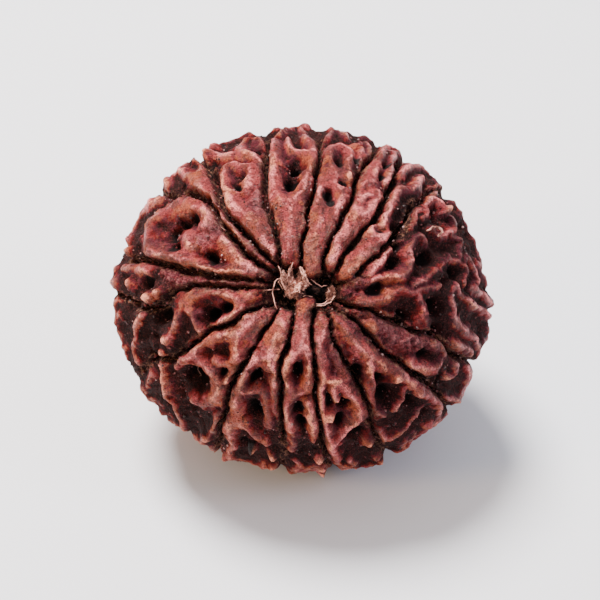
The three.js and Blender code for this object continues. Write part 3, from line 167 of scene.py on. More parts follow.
# Ridges, by face: millimetres to the right and up from the middle of the stone, and the ridge's width
RIDGES = {
  "topLobe": [
    [[-0.85, 4.1, 2.3], [-0.9, 5.0, 2.3], [-0.8, 6.0, 2.4], [-0.8, 7.0, 2.5], [-1.0, 8.0, 2.6]],
    [[-1.6, 8.0, 1.4], [-2.0, 8.8, 1.2], [-2.2, 9.5, 1.1], [-2.25, 10.5, 1.1], [-2.1, 11.5, 1.2],
      [-2.1, 13.0, 1.2]],
    [[-0.5, 8.2, 1.2], [-0.1, 8.8, 1.0], [0.3, 9.5, 0.9], [0.5, 10.3, 0.9], [0.75, 11.0, 0.9],
      [0.85, 12.0, 0.7]],
    [[0.75, 11.3, 0.8], [0.4, 11.8, 0.8], [-0.3, 12.1, 0.8], [-0.9, 12.5, 0.8], [-1.05, 13.1, 0.8]],
    [[0.85, 12.0, 0.7], [0.75, 12.8, 0.7], [0.4, 13.5, 0.8], [-0.4, 13.9, 0.9], [-1.2, 13.7, 0.9],
      [-1.9, 13.4, 0.9]],
  ],
  "topRightLobe": [
    [[1.1, 3.0, 2.1], [1.0, 4.2, 2.3], [1.3, 5.4, 2.5], [1.8, 6.5, 2.7], [2.1, 7.1, 2.8]],
    [[1.6, 7.0, 1.1], [1.5, 7.6, 0.9], [1.5, 8.3, 0.9], [1.7, 9.2, 1.1], [2.2, 10.0, 1.65],
      [2.9, 10.2, 2.1]],
    [[2.7, 7.0, 1.3], [3.0, 7.6, 1.2], [3.5, 8.4, 1.45], [3.2, 9.0, 1.45], [2.8, 9.6, 1.2]],
    [[2.4, 10.4, 1.0], [2.4, 11.3, 0.9], [2.5, 12.2, 0.9], [3.3, 12.5, 0.9], [4.0, 12.1, 0.9],
      [4.2, 11.3, 0.9], [3.8, 10.6, 1.0], [3.9, 9.9, 1.1]],
    [[2.1, 13.1, 0.75], [2.9, 13.6, 0.9], [3.7, 13.1, 0.75]],
    [[4.3, 12.6, 0.75], [4.8, 12.7, 0.75], [5.3, 12.7, 0.75], [5.7, 12.2, 0.75], [5.6, 11.6, 0.65]],
    [[5.0, 12.4, 0.65], [5.0, 11.4, 0.65]],
  ],
  "forkedLobe": [
    [[2.62, 3.2, 1.32], [2.8, 3.6, 1.5], [3.2, 4.6, 1.8], [3.6, 5.6, 2.0], [4.2, 6.6, 2.5],
      [4.6, 7.2, 2.6]],
    [[4.4, 7.1, 1.6], [5.3, 6.8, 1.4]],
    [[5.0, 8.3, 1.25], [5.6, 8.5, 1.6], [6.3, 8.8, 1.25], [6.2, 8.1, 1.4], [5.9, 7.6, 1.25],
      [5.5, 7.0, 1.05]],
    [[5.2, 9.4, 1.7], [5.8, 9.8, 1.95], [6.0, 10.5, 1.5], [6.3, 11.2, 1.15], [6.5, 11.8, 1.15],
      [7.0, 12.2, 1.15], [7.5, 11.8, 0.8], [7.5, 11.3, 0.8], [7.3, 10.4, 0.8], [7.0, 9.6, 0.8]],
  ],
  "heartLobe": [
    [[3.87, 2.27, 1.48], [4.3, 2.8, 1.8], [5.1, 3.6, 2.2], [5.9, 4.5, 2.6], [6.4, 4.9, 2.7]],
    [[6.0, 4.9, 1.4], [5.8, 5.9, 1.15]],
    [[6.6, 4.8, 1.4], [7.1, 5.4, 1.15]],
    [[6.7, 6.3, 1.05], [7.0, 7.0, 1.15], [7.4, 7.8, 1.25], [7.7, 8.5, 1.4], [8.2, 8.9, 1.4],
      [8.9, 8.9, 1.25], [9.4, 9.2, 0.9], [9.8, 9.9, 0.9]],
    [[8.2, 10.4, 0.8], [8.9, 10.8, 0.9], [9.7, 10.6, 0.9], [10.4, 10.2, 0.9], [10.9, 9.6, 0.9],
      [11.0, 8.8, 0.9]],
  ],
  "ringLobe": [
    [[7.2, 4.0, 0.75], [6.9, 3.5, 0.85], [6.4, 2.9, 0.95], [5.8, 2.2, 1.1], [5.6, 1.7, 1.05],
      [6.4, 1.8, 1.05], [7.3, 1.8, 1.05], [8.2, 1.9, 1.1], [8.8, 2.5, 1.1], [9.0, 3.3, 1.1],
      [8.8, 4.1, 1.1], [9.0, 4.8, 1.05], [9.6, 5.1, 0.75], [10.1, 4.7, 0.75]],
    [[5.0, 0.0, 1.2], [5.8, -0.1, 1.1], [6.6, 0.1, 0.95], [7.3, 0.4, 0.85], [7.9, 0.75, 0.85],
      [8.6, 0.9, 0.75], [9.6, 0.6, 0.75], [10.5, 0.9, 0.75], [11.2, 1.2, 0.75]],
    [[4.4, 1.0, 0.7], [4.9, 1.5, 0.7], [5.6, 1.7, 0.7]],
    [[9.0, 5.7, 0.6], [9.3, 6.5, 0.6], [9.4, 7.1, 0.6], [9.9, 7.4, 0.6], [10.2, 7.0, 0.6],
      [9.9, 6.5, 0.5]],
    [[10.2, 7.2, 0.6], [10.4, 8.0, 0.7], [11.0, 8.2, 0.75], [11.5, 7.7, 0.7], [11.9, 7.0, 0.7]],
    [[12.5, 6.6, 0.7], [12.6, 5.9, 0.7], [12.3, 5.4, 0.7], [11.4, 5.2, 0.7], [10.6, 5.6, 0.7]],
    [[12.4, 5.2, 0.6], [13.0, 4.6, 0.7], [12.9, 3.8, 0.7], [12.9, 3.3, 0.75]],
    [[9.3, 1.3, 0.7], [10.2, 1.5, 0.75], [10.9, 2.3, 0.75], [11.6, 2.9, 0.75], [12.3, 3.2, 0.75],
      [13.0, 3.1, 0.7], [13.4, 2.6, 0.7], [13.5, 2.0, 0.7], [13.2, 1.3, 0.7]],
    [[13.3, 3.3, 0.7], [14.0, 2.8, 0.7], [14.3, 2.0, 0.7], [14.3, 1.4, 0.7]],
    [[10.1, -1.6, 1.55], [10.0, -1.0, 1.1], [9.8, 0.3, 0.75]],
    [[12.4, 0.9, 0.85], [12.4, 0.2, 1.05], [12.5, -0.8, 1.1], [12.5, -1.6, 0.95], [12.9, -2.2, 0.85],
      [13.3, -2.7, 0.7], [13.7, -3.0, 0.7]],
    [[12.6, 1.0, 0.7], [13.1, 0.5, 0.7], [13.8, -0.1, 0.7], [14.4, -0.6, 0.7], [14.8, -1.3, 0.7]],
    [[14.0, 0.9, 0.7], [14.6, 0.4, 0.7], [15.0, -0.3, 0.7]],
    [[12.4, -3.5, 0.85], [13.2, -3.9, 0.85], [13.5, -4.4, 0.75]],
    [[13.7, -3.0, 0.7], [14.1, -3.5, 0.7], [14.3, -4.4, 0.7]],
  ],
  "dullLobe": [
    [[4.73, -1.16, 1.21], [5.3, -1.5, 1.5], [6.5, -2.2, 2.3], [8.0, -3.0, 2.8], [9.4, -3.5, 2.5],
      [10.6, -3.7, 1.4]],
    [[10.6, -3.7, 1.0], [11.2, -4.0, 1.2], [11.4, -4.5, 1.4], [11.1, -5.2, 1.5], [10.5, -5.6, 1.4],
      [9.6, -5.5, 1.3], [8.9, -5.2, 1.1]],
    [[12.4, -5.0, 1.1], [12.3, -5.8, 1.0], [11.9, -6.2, 0.9]],
    [[13.3, -5.4, 0.9], [13.2, -6.2, 0.9], [13.0, -7.0, 0.9], [12.5, -7.6, 0.9], [11.7, -7.9, 0.9]],
    [[12.4, -8.5, 0.9], [11.5, -9.2, 0.9], [11.0, -9.9, 0.8]],
  ],
  "lowerRightLobe": [
    [[2.98, -1.67, 0.74], [3.4, -2.3, 0.95], [4.2, -3.3, 1.1], [5.0, -4.1, 1.2], [5.7, -4.8, 1.35],
      [6.4, -5.4, 1.3], [7.3, -5.8, 1.2], [8.2, -6.3, 1.15], [9.0, -6.9, 1.1], [9.7, -7.4, 1.0]],
    [[5.6, -5.2, 0.7], [5.8, -6.2, 0.5], [5.7, -7.2, 0.6], [5.7, -8.0, 0.6], [5.8, -8.7, 0.6],
      [6.6, -9.4, 0.5]],
    [[9.0, -7.0, 0.6], [8.5, -7.2, 0.5], [8.2, -8.0, 0.45], [7.5, -8.9, 0.45]],
    [[9.7, -7.4, 0.65], [10.4, -8.0, 0.6], [10.8, -8.3, 0.6], [11.0, -8.9, 0.6], [10.7, -9.6, 0.6],
      [10.0, -10.1, 0.6]],
    [[10.2, -8.2, 0.5], [9.5, -8.7, 0.5], [9.2, -9.2, 0.5], [8.7, -9.7, 0.6], [8.2, -10.2, 0.6],
      [7.5, -10.8, 0.6], [6.8, -11.1, 0.6], [6.4, -10.6, 0.6]],
    [[9.1, -10.6, 0.45], [8.6, -11.3, 0.5], [8.1, -11.8, 0.6], [7.7, -12.2, 0.65]],
  ],
  "lowerLobe": [
    [[1.67, -1.62, 0.9], [1.9, -2.2, 0.9], [1.8, -3.2, 0.7], [1.7, -4.2, 0.7], [1.8, -5.2, 0.7],
      [1.9, -6.2, 0.75], [1.8, -7.0, 0.7], [1.7, -7.8, 0.55], [1.7, -8.4, 0.55], [1.8, -9.2, 0.55],
      [2.0, -10.0, 0.6], [2.2, -10.8, 0.6], [2.5, -11.4, 0.6], [2.7, -12.1, 0.6], [2.9, -12.9, 0.6],
      [3.3, -13.3, 0.6]],
    [[1.9, -6.6, 0.75], [2.7, -6.7, 1.0], [3.4, -6.9, 0.9], [4.0, -7.8, 0.7], [4.5, -8.6, 0.7],
      [4.8, -9.4, 0.7], [4.4, -10.1, 0.7], [3.9, -10.6, 0.7], [3.3, -11.2, 0.7], [2.8, -11.8, 0.6]],
    [[2.3, -2.6, 0.7], [2.6, -3.8, 0.75], [2.9, -5.0, 0.75], [3.2, -6.2, 0.75]],
    [[2.9, -7.2, 0.6], [2.9, -8.3, 0.45]],
    [[4.1, -12.9, 0.6], [4.8, -13.2, 0.6], [5.4, -13.0, 0.6]],
  ],
  "bottomLobe": [
    [[0.5, -0.7, 1.8], [0.4, -1.5, 2.0], [0.3, -2.3, 2.1], [0.2, -3.2, 2.2], [0.1, -4.1, 2.2]],
    [[-0.3, -4.3, 0.9], [-0.8, -4.8, 0.7], [-1.1, -5.4, 0.6], [-1.2, -6.3, 0.6], [-1.0, -7.2, 0.7],
      [-0.7, -7.8, 1.0]],
    [[0.4, -4.2, 1.0], [0.7, -4.8, 0.9], [0.8, -5.5, 0.9], [0.7, -6.5, 0.8], [0.4, -7.3, 0.9],
      [-0.2, -7.7, 1.0], [-0.7, -7.9, 1.1], [-1.0, -8.6, 0.9], [-1.1, -9.4, 0.7], [-0.9, -10.3, 0.8],
      [-0.6, -11.2, 0.8], [-0.7, -12.2, 0.8]],
    [[0.6, -8.6, 0.6], [0.7, -9.2, 0.7], [0.8, -10.0, 0.8], [0.9, -10.8, 0.9], [1.0, -11.6, 0.8]],
    [[-0.5, -13.3, 0.7], [0.2, -13.7, 0.8], [0.9, -13.6, 0.8]],
  ],
  "lowerLeftLobe": [
    [[-1.5, -1.9, 1.8], [-1.9, -2.8, 2.0], [-2.2, -3.7, 2.1], [-2.4, -4.6, 2.0], [-2.4, -5.4, 1.4],
      [-2.1, -6.2, 0.8], [-2.2, -7.2, 0.7], [-2.2, -8.2, 0.7], [-2.1, -9.2, 0.7]],
    [[-2.6, -4.9, 1.2], [-3.5, -5.0, 1.0], [-4.4, -5.4, 0.8], [-4.7, -6.3, 0.9], [-5.0, -7.2, 0.9],
      [-5.3, -8.2, 0.8], [-5.2, -9.2, 0.7], [-5.4, -10.0, 0.8]],
    [[-4.9, -7.5, 0.8], [-4.2, -7.6, 0.8], [-3.5, -7.5, 0.8], [-2.9, -7.9, 0.8], [-2.7, -8.6, 0.8],
      [-2.7, -9.4, 0.8], [-2.6, -10.4, 0.6]],
    [[-5.9, -10.7, 1.6], [-5.4, -10.1, 1.4], [-4.9, -10.3, 1.2], [-4.2, -10.8, 1.0],
      [-3.4, -11.3, 1.0], [-2.7, -11.9, 0.7]],
    [[-5.7, -11.0, 0.8], [-5.6, -12.0, 0.7], [-5.5, -13.2, 0.8], [-4.2, -13.6, 0.8],
      [-3.2, -13.5, 0.8]],
  ],
  "wingLobe": [
    [[-3.8, -1.7, 2.1], [-4.6, -2.3, 2.5], [-5.5, -2.7, 1.8], [-6.5, -3.0, 1.1], [-7.4, -3.4, 0.9],
      [-8.4, -3.9, 1.1], [-8.7, -4.6, 1.6], [-8.0, -5.3, 1.3], [-7.3, -6.0, 1.1], [-6.9, -6.8, 1.0],
      [-6.8, -7.6, 1.3], [-7.1, -8.4, 1.6], [-7.9, -8.7, 1.5], [-8.6, -8.3, 1.1]],
    [[-4.7, -2.6, 1.8], [-5.1, -3.3, 1.5], [-5.3, -4.2, 1.1], [-5.4, -5.0, 0.7]],
    [[-6.9, -5.0, 0.6], [-6.4, -5.3, 0.7], [-5.8, -5.5, 0.7], [-5.6, -6.2, 0.6], [-6.0, -6.9, 0.6]],
    [[-8.8, -4.6, 1.0], [-9.5, -4.8, 0.8], [-10.2, -5.4, 0.7]],
    [[-6.9, -9.4, 0.7], [-6.9, -10.3, 0.7], [-7.6, -11.0, 0.8], [-7.9, -12.0, 0.7]],
  ],
  "leftLobe": [
    [[-4.3, 0.3, 1.3], [-5.2, -0.1, 1.0], [-6.0, 0.1, 0.8], [-7.0, 0.4, 0.9], [-8.0, 0.4, 1.3],
      [-9.0, 0.2, 1.7], [-9.6, -0.2, 1.5], [-9.9, -0.9, 1.1], [-10.1, -1.6, 0.8], [-10.4, -2.6, 0.8],
      [-10.9, -3.4, 1.2]],
    [[-9.0, 0.0, 1.5], [-9.0, -0.6, 1.4], [-8.8, -1.2, 1.2], [-8.6, -2.0, 0.9], [-8.2, -2.7, 0.6]],
    [[-4.8, -0.6, 0.6], [-5.6, -1.4, 0.6], [-6.5, -1.9, 0.6]],
    [[-13.0, -1.4, 0.8], [-13.4, -2.3, 0.8], [-13.4, -3.4, 0.9], [-13.7, -4.2, 0.7],
      [-13.3, -5.2, 0.7]],
    [[-11.4, -4.6, 0.7], [-11.3, -5.6, 0.7], [-11.3, -6.4, 0.8], [-11.0, -7.2, 0.8],
      [-10.8, -8.0, 0.8], [-10.3, -8.5, 0.7], [-10.1, -9.2, 0.7], [-9.7, -9.9, 0.9],
      [-9.4, -10.5, 0.7]],
    [[-12.2, -6.2, 0.7], [-12.5, -7.0, 0.7], [-12.4, -7.8, 0.7], [-11.9, -8.3, 0.7],
      [-11.3, -8.8, 0.7], [-11.3, -9.4, 0.7]],
  ],
  "narrowLobe": [
    [[-3.6, 1.25, 0.6], [-5.0, 1.4, 0.7], [-7.0, 1.4, 0.7], [-9.0, 1.5, 0.8], [-10.2, 1.6, 1.1],
      [-11.2, 2.0, 1.1]],
    [[-11.4, 0.7, 0.9], [-12.0, 0.4, 0.7], [-12.6, 0.2, 1.0]],
    [[-14.7, 0.2, 0.8], [-14.9, -0.6, 0.8], [-14.8, -1.4, 0.8]],
    [[-12.8, 2.2, 0.8], [-13.5, 2.4, 0.8], [-14.4, 2.4, 0.8]],
  ],
  "loopLobe": [
    [[-3.8, 2.3, 1.6], [-4.6, 2.9, 2.0], [-5.4, 3.6, 2.2], [-5.9, 4.2, 2.0], [-6.3, 4.9, 1.3]],
    [[-4.4, 2.2, 1.0], [-5.4, 2.3, 1.0], [-6.8, 2.2, 0.9], [-7.8, 2.5, 0.9], [-8.6, 2.9, 0.9],
      [-9.6, 3.2, 0.9], [-10.8, 3.4, 1.1], [-11.8, 3.9, 1.6], [-12.4, 4.6, 2.1], [-12.5, 5.4, 2.0],
      [-12.2, 6.3, 1.7], [-11.6, 6.9, 1.4], [-11.0, 7.3, 1.4], [-10.3, 7.7, 1.9], [-9.5, 7.9, 2.1],
      [-8.8, 7.8, 1.8], [-8.1, 7.4, 1.5], [-7.7, 6.8, 1.3], [-7.9, 6.1, 1.2]],
    [[-9.2, 4.9, 1.8], [-9.1, 4.4, 1.9]],
    [[-8.3, 4.8, 1.7], [-7.7, 5.4, 1.7], [-7.4, 6.0, 1.4]],
    [[-13.0, 6.9, 1.1], [-12.4, 7.6, 1.4], [-11.6, 8.1, 1.2]],
  ],
  "hookLobe": [
    [[-4.6, 4.2, 0.6], [-5.6, 5.4, 0.7], [-6.4, 6.6, 0.7], [-7.2, 7.6, 1.1], [-7.8, 8.6, 1.5],
      [-8.3, 9.5, 1.6], [-9.2, 10.2, 1.2], [-9.8, 10.4, 1.2], [-10.5, 10.0, 1.1], [-10.8, 9.4, 1.1]],
    [[-8.4, 9.9, 1.5], [-8.1, 10.5, 1.3], [-8.0, 11.0, 1.1]],
  ],
  "crookLobe": [
    [[-2.49, 3.74, 1.63], [-2.7, 4.2, 1.8], [-3.3, 5.4, 1.9], [-4.0, 6.5, 2.2], [-5.0, 7.3, 1.9],
      [-5.7, 8.0, 1.5], [-6.1, 9.0, 1.2], [-6.3, 10.0, 1.1], [-6.0, 10.8, 0.9], [-4.9, 10.9, 0.7],
      [-4.0, 10.8, 1.1], [-4.1, 10.1, 1.3], [-4.3, 9.3, 1.5]],
    [[-3.9, 7.0, 1.6], [-3.6, 7.9, 1.5], [-3.4, 8.8, 1.3]],
    [[-3.2, 3.4, 0.7], [-3.8, 4.2, 0.7], [-4.6, 5.2, 0.7]],
    [[-8.1, 11.2, 1.0], [-7.5, 11.7, 1.3], [-6.5, 11.9, 1.4], [-5.6, 11.7, 1.3]],
    [[-4.5, 11.7, 1.1], [-4.9, 12.2, 1.3], [-4.7, 12.8, 1.3], [-4.1, 13.1, 1.2], [-3.3, 13.0, 1.1],
      [-2.6, 12.9, 1.0]],
    [[-4.5, 11.8, 0.8], [-3.8, 11.6, 0.8], [-3.3, 11.3, 0.8]],
  ],
}

# Round knobs, with the diameter as the third number
KNOBS = [
  [5.9, -2.4, 1.1], [11.9, 7.0, 0.8], [7.8, -6.5, 1.2], [2.4, -9.4, 0.9], [5.5, -11.4, 1.0],
  [6.1, -12.6, 0.8], [1.4, -12.9, 0.8], [1.7, -13.9, 0.8], [-2.3, -12.7, 1.0], [-2.2, -13.6, 0.9],
  [-6.1, -12.7, 0.8], [-4.0, -12.3, 0.6], [-7.7, -11.0, 0.9], [-7.0, -12.9, 0.7], [-14.0, 3.9, 0.9],
  [-14.0, 1.2, 1.3], [-12.4, 0.2, 1.1], [-11.5, 0.6, 1.0], [-10.9, -3.4, 1.4], [3.9, 9.9, 1.1],
]

# Pits, with the width as the third number
PITS = [
  [-0.8, 9.8, 1.3], [-0.4, 11.0, 1.1], [-0.3, 13.1, 0.8], [2.2, 8.6, 1.0], [2.5, 8.0, 0.8],
  [3.4, 9.5, 0.6], [3.3, 11.3, 1.1], [4.7, 11.4, 0.8], [4.4, 4.6, 0.6], [7.2, 10.8, 0.7],
  [6.7, 10.1, 0.7], [6.4, 5.5, 0.6], [7.9, 5.6, 0.9], [7.7, 3.0, 1.0], [8.0, 4.4, 0.8],
  [6.2, 0.9, 1.4], [11.1, 7.0, 0.9], [12.6, 2.2, 1.0], [11.2, -0.5, 1.3], [8.6, -1.6, 1.1],
  [11.5, -2.7, 1.0], [10.1, -4.4, 0.9], [11.3, -6.8, 1.3], [4.9, -6.2, 0.9], [6.8, -8.0, 1.5],
  [6.4, -6.5, 0.8], [9.0, -8.3, 0.9], [10.1, -9.2, 0.8], [2.4, -8.4, 0.8], [3.6, -8.6, 0.8],
  [3.0, -10.2, 1.2], [4.7, -11.3, 1.4], [-0.2, -6.0, 1.2], [0.0, -9.2, 0.8], [0.1, -10.4, 0.9],
  [-3.7, -6.6, 1.0], [-3.7, -9.4, 1.5], [-4.3, -12.1, 1.4], [-6.2, -6.2, 0.7], [-9.0, -6.4, 2.0],
  [-8.3, -7.1, 1.3], [-7.4, -1.3, 1.1], [-6.1, -0.9, 0.8], [-11.7, -1.3, 1.7], [-10.8, 5.4, 1.1],
  [-10.7, 4.3, 0.9], [-9.8, 6.4, 0.7], [-8.8, 6.9, 0.8], [-7.4, 3.4, 0.8], [-10.0, 9.5, 0.9],
  [-5.2, 9.4, 0.9], [-4.6, 10.2, 0.6], [-7.4, 11.3, 0.8], [-3.6, 12.4, 0.9], [-2.9, 11.7, 0.6],
  [-12.9, 1.5, 0.9], [10.6, 3.4, 1.2],
]

# The seams between the sixteen faces, from the stalk end outwards
SEAMS = [
  [[-1.7, 2.8], [-1.85, 4.0], [-2.0, 5.0], [-2.2, 6.0], [-2.6, 7.0], [-2.8, 8.0], [-2.9, 9.0],
    [-3.0, 10.0], [-2.9, 11.0], [-2.7, 12.0], [-2.9, 13.3]],
  [[0.1, 2.9], [0.15, 4.0], [0.25, 5.0], [0.5, 6.0], [0.7, 7.2], [0.9, 8.5], [1.15, 9.5], [1.3, 10.5],
    [1.5, 11.5], [1.6, 12.5], [1.6, 13.5]],
  [[1.9, 2.3], [2.0, 3.5], [2.4, 4.6], [2.9, 5.6], [3.3, 6.7], [3.9, 7.7], [4.4, 8.6], [4.5, 9.6],
    [4.9, 10.4], [5.4, 11.0], [6.0, 11.9], [6.3, 12.5]],
  [[3.0, 2.5], [3.5, 3.4], [4.1, 4.4], [4.8, 5.1], [5.4, 5.9], [6.0, 6.5], [6.5, 7.2], [6.9, 8.0],
    [7.2, 8.8], [7.6, 9.5], [8.0, 10.4], [8.1, 11.3]],
  [[3.9, 1.5], [5.0, 2.6], [5.8, 3.3], [6.5, 3.8], [7.1, 4.4], [7.6, 5.0], [8.2, 5.6], [8.8, 6.6],
    [9.2, 7.8], [10.0, 8.2], [10.6, 8.8], [11.8, 8.7]],
  [[4.1, -0.5], [5.2, -0.85], [6.0, -1.1], [6.8, -1.4], [7.9, -1.9], [8.8, -2.3], [9.7, -2.7],
    [10.6, -3.0], [11.5, -3.3], [12.0, -4.1], [12.9, -4.8], [14.0, -5.2]],
  [[3.4, -1.1], [4.4, -1.8], [5.2, -2.5], [5.8, -3.1], [6.4, -3.8], [7.2, -4.5], [8.2, -5.4],
    [9.0, -6.0], [10.0, -6.6], [10.7, -7.2], [11.4, -8.3], [12.2, -9.0]],
  [[2.4, -1.6], [2.5, -2.4], [2.7, -3.3], [3.1, -4.2], [3.7, -5.3], [4.3, -6.3], [4.9, -7.3],
    [5.3, -8.1], [5.6, -9.0], [5.9, -10.0], [6.3, -11.3], [6.9, -12.7]],
  [[1.2, -1.2], [1.1, -2.3], [1.0, -3.4], [1.2, -4.5], [1.3, -5.5], [1.3, -6.5], [1.2, -7.5],
    [1.25, -8.5], [1.4, -9.5], [1.6, -10.6], [1.9, -11.8], [2.2, -13.5]],
  [[-0.5, -1.0], [-0.6, -2.0], [-0.9, -3.0], [-1.2, -4.0], [-1.6, -5.0], [-1.7, -6.0], [-1.6, -7.0],
    [-1.6, -8.0], [-1.6, -9.0], [-1.5, -11.0], [-1.5, -13.7]],
  [[-2.0, -1.0], [-2.6, -1.9], [-3.3, -2.9], [-3.8, -3.9], [-4.4, -4.7], [-4.9, -5.5], [-5.3, -6.3],
    [-5.8, -7.2], [-6.1, -8.2], [-6.2, -9.2], [-6.5, -10.2], [-6.8, -11.6], [-6.9, -13.0]],
  [[-3.0, -0.6], [-4.4, -1.0], [-5.6, -1.9], [-7.0, -2.5], [-8.0, -3.1], [-9.0, -3.7], [-9.9, -4.4],
    [-10.5, -5.0], [-11.8, -5.0], [-13.2, -6.0]],
  [[-3.3, 0.85], [-5.0, 0.9], [-7.0, 0.95], [-9.0, 0.95], [-10.3, 0.7], [-11.6, -0.2], [-13.0, -0.7],
    [-14.8, 0.6]],
  [[-3.4, 1.65], [-5.0, 1.75], [-7.0, 1.8], [-9.0, 2.3], [-10.5, 2.7], [-12.0, 3.1], [-13.0, 3.4],
    [-14.3, 3.2]],
  [[-3.4, 2.9], [-4.4, 3.7], [-5.2, 4.6], [-6.0, 5.5], [-6.7, 6.3], [-7.1, 7.1], [-7.7, 8.2],
    [-8.6, 8.8], [-9.6, 9.0], [-10.6, 8.8], [-11.8, 8.6]],
  [[-3.2, 3.9], [-4.0, 4.8], [-5.0, 5.8], [-5.8, 6.6], [-6.5, 7.4], [-6.8, 8.2], [-6.9, 9.0],
    [-7.1, 9.9], [-7.6, 10.8], [-8.6, 11.9]],
]

# The net of ridges that the stone lies on: across, back, and width
REST_NET = [
  [[-4.6, -2.6, 1.4], [-2.6, -1.2, 1.5], [0, 0, 2.6], [2.6, -1.4, 1.5], [4.4, -3.0, 1.4]],
  [[-3.6, 3.6, 1.4], [-1.8, 1.8, 1.5], [0, 0, 2.6], [2.0, 2.0, 1.5], [3.4, 3.8, 1.4]],
  [[0, 0, 2.0], [0.2, -2.4, 1.4], [-0.2, -4.6, 1.4]],
  [[-2.6, -1.2, 1.2], [-2.9, 0.6, 1.1], [-1.8, 1.8, 1.2]],
  [[2.6, -1.4, 1.2], [3.1, 0.4, 1.1], [2.0, 2.0, 1.2]],
]

# Places on the rim that stand out: right, up, reach and height
OUTCROPS = [
  [-8.0, 11.5, 1.6, 0.6], [-13.5, -5.7, 1.6, 0.5], [-14.9, 1.5, 3.5, 0.35], [10.7, -10.0, 13.0, 0.45],
  [15.1, -1.2, 3.0, 0.4],
]

# Widths of these seams, in their order
SEAM_WIDTHS = [
  1.0, 0.7, 0.7, 0.8, 0.7, 0.8, 0.7, 0.65, 0.6, 0.7, 0.65, 0.7, 0.7, 1.0, 1.1, 1.1,
]

# The one pale curl that lies across the ridges: right, up, and height above the hollow's floor
CURL = [
    [[10.05, 5.4, 3.0], [10.35, 5.55, 3.4], [10.75, 5.45, 3.5], [11.0, 5.2, 3.4], [10.95, 4.95, 3.0]],
]

# Hair-thin fibres in the seams and between the ridges, drawn in the same way
LOOSE_FIBRES = [
    [[-7.1, 6.9, 1.9], [-6.9, 6.4, 1.95], [-6.6, 6.05, 1.9], [-6.3, 5.9, 2.0]],
    [[-8.9, -5.9, 1.3], [-9.3, -6.4, 1.2], [-8.9, -6.9, 1.3], [-9.2, -7.2, 1.2]],
    [[11.3, 1.9, 2.1], [11.7, 1.7, 2.2], [12.0, 2.0, 2.1]],
]

# Ridges that carry a dull grained skin, by face and place in its list
DULL_RIDGES = (
    ("dullLobe", 0), ("narrowLobe", 0), ("crookLobe", 2), ("lowerLobe", 2), ("ringLobe", 2), ("loopLobe", 3),
    ("crookLobe", 1),
)

# Faces given painted shade, darker and with duller ridge tops: right and up on the drawing, and reach
SHADED = (
    (12.0, 1.0, 6.0), (9.0, 7.5, 4.0), (10.0, -8.0, 6.0), (-12.0, -3.0, 5.5), (0.0, -13.0, 5.0),
    (-9.2, -6.4, 2.6), (8.6, 6.0, 2.2), (-8.0, -10.5, 4.5), (-7.5, 1.4, 2.0),
)

# Lumps of the matted fibres: right, up, across, along, turned by (degrees), and height
TUFTS = [
    [-1.0, 1.6, 1.0, 1.7, 25, 1.3],
    [-0.65, 0.8, 1.2, 1.2, -20, 1.25],
    [0.15, 1.8, 0.8, 1.9, -14, 1.3],
    [2.75, 0.5, 0.65, 1.25, -12, 1.0],
    [1.5, 0.95, 1.3, 0.5, -15, 0.6],
]

# Wisps of fibres: right, up, height above the hollow's floor, and width, along each
WISPS = [
    [[-1.2, 0.7, 1.2, 0.5], [-1.5, 1.6, 1.3, 0.6], [-1.6, 2.3, 1.3, 0.4], [-1.5, 2.8, 1.4, 0.2]],
    [[-0.9, 1.0, 1.4, 0.5], [-1.0, 1.9, 1.5, 0.5], [-0.85, 2.6, 1.6, 0.3], [-0.7, 3.1, 1.7, 0.15]],
    [[-0.6, 0.1, 1.2, 0.3], [-0.3, 0.9, 1.5, 0.6], [0.4, 1.3, 1.4, 0.6], [0.9, 1.5, 1.1, 0.3]],
    [[0.6, 0.9, 1.2, 0.4], [0.45, 1.8, 1.5, 0.5], [0.2, 2.5, 1.6, 0.35], [-0.2, 3.0, 1.6, 0.15]],
    [[-1.5, 0.9, 1.3, 0.3], [-1.0, 0.5, 1.4, 0.4], [-0.5, 0.1, 1.2, 0.3]],
    [[2.6, -0.1, 1.1, 0.2], [3.0, 0.3, 1.2, 0.35], [2.8, 0.9, 1.2, 0.4], [2.5, 1.1, 1.1, 0.2]],
    [[0.6, 1.1, 1.2, 0.3], [1.3, 0.95, 1.2, 0.5], [2.3, 0.5, 1.3, 0.4]],
    [[1.0, 1.7, 1.2, 0.2], [1.7, 1.4, 1.2, 0.4], [2.4, 0.9, 1.3, 0.3]],
]
WISP_FIBRES = 14

# Single fibres: right, up, and height above the hollow's floor
THREADS = [
    [[-1.5, 2.0, 1.3], [-2.0, 1.8, 1.5], [-2.35, 1.2, 1.6], [-2.42, 0.5, 1.6], [-2.3, -0.2, 1.6],
        [-2.05, -0.9, 1.6]],
    [[-1.9, 0.95, 1.2], [-2.4, 0.8, 1.6], [-3.1, 0.78, 2.2]],
    [[-1.2, 1.6, 1.4], [-0.9, 2.5, 1.7], [-0.6, 3.15, 2.0]],
    [[-1.5, 1.9, 1.3], [-1.7, 2.4, 1.7], [-1.9, 2.8, 2.1]],
    [[1.3, -0.6, 1.4], [1.8, -0.6, 1.4], [2.4, -0.4, 1.4], [2.8, -0.1, 1.4], [3.1, 0.4, 1.4]],
    [[1.4, -0.45, 1.2], [2.1, -0.35, 1.3], [2.7, 0.1, 1.3]],
    [[0.2, 0.2, 1.2], [0.7, 0.35, 1.0], [1.1, 0.2, 1.0]],
    [[0.9, 1.9, 1.0], [1.4, 1.5, 1.0], [1.9, 1.2, 1.0], [2.4, 1.3, 1.1]],
]

# Thickness of each kind of free fibre, as a share of the strand radius, and the sides of the tubes
LOOSE_SHARE = 0.6
CURL_SHARE = 1.7
THREAD_SHARE = 0.75
LOOSE_SIDES = 6
THIN_SIDES = 5

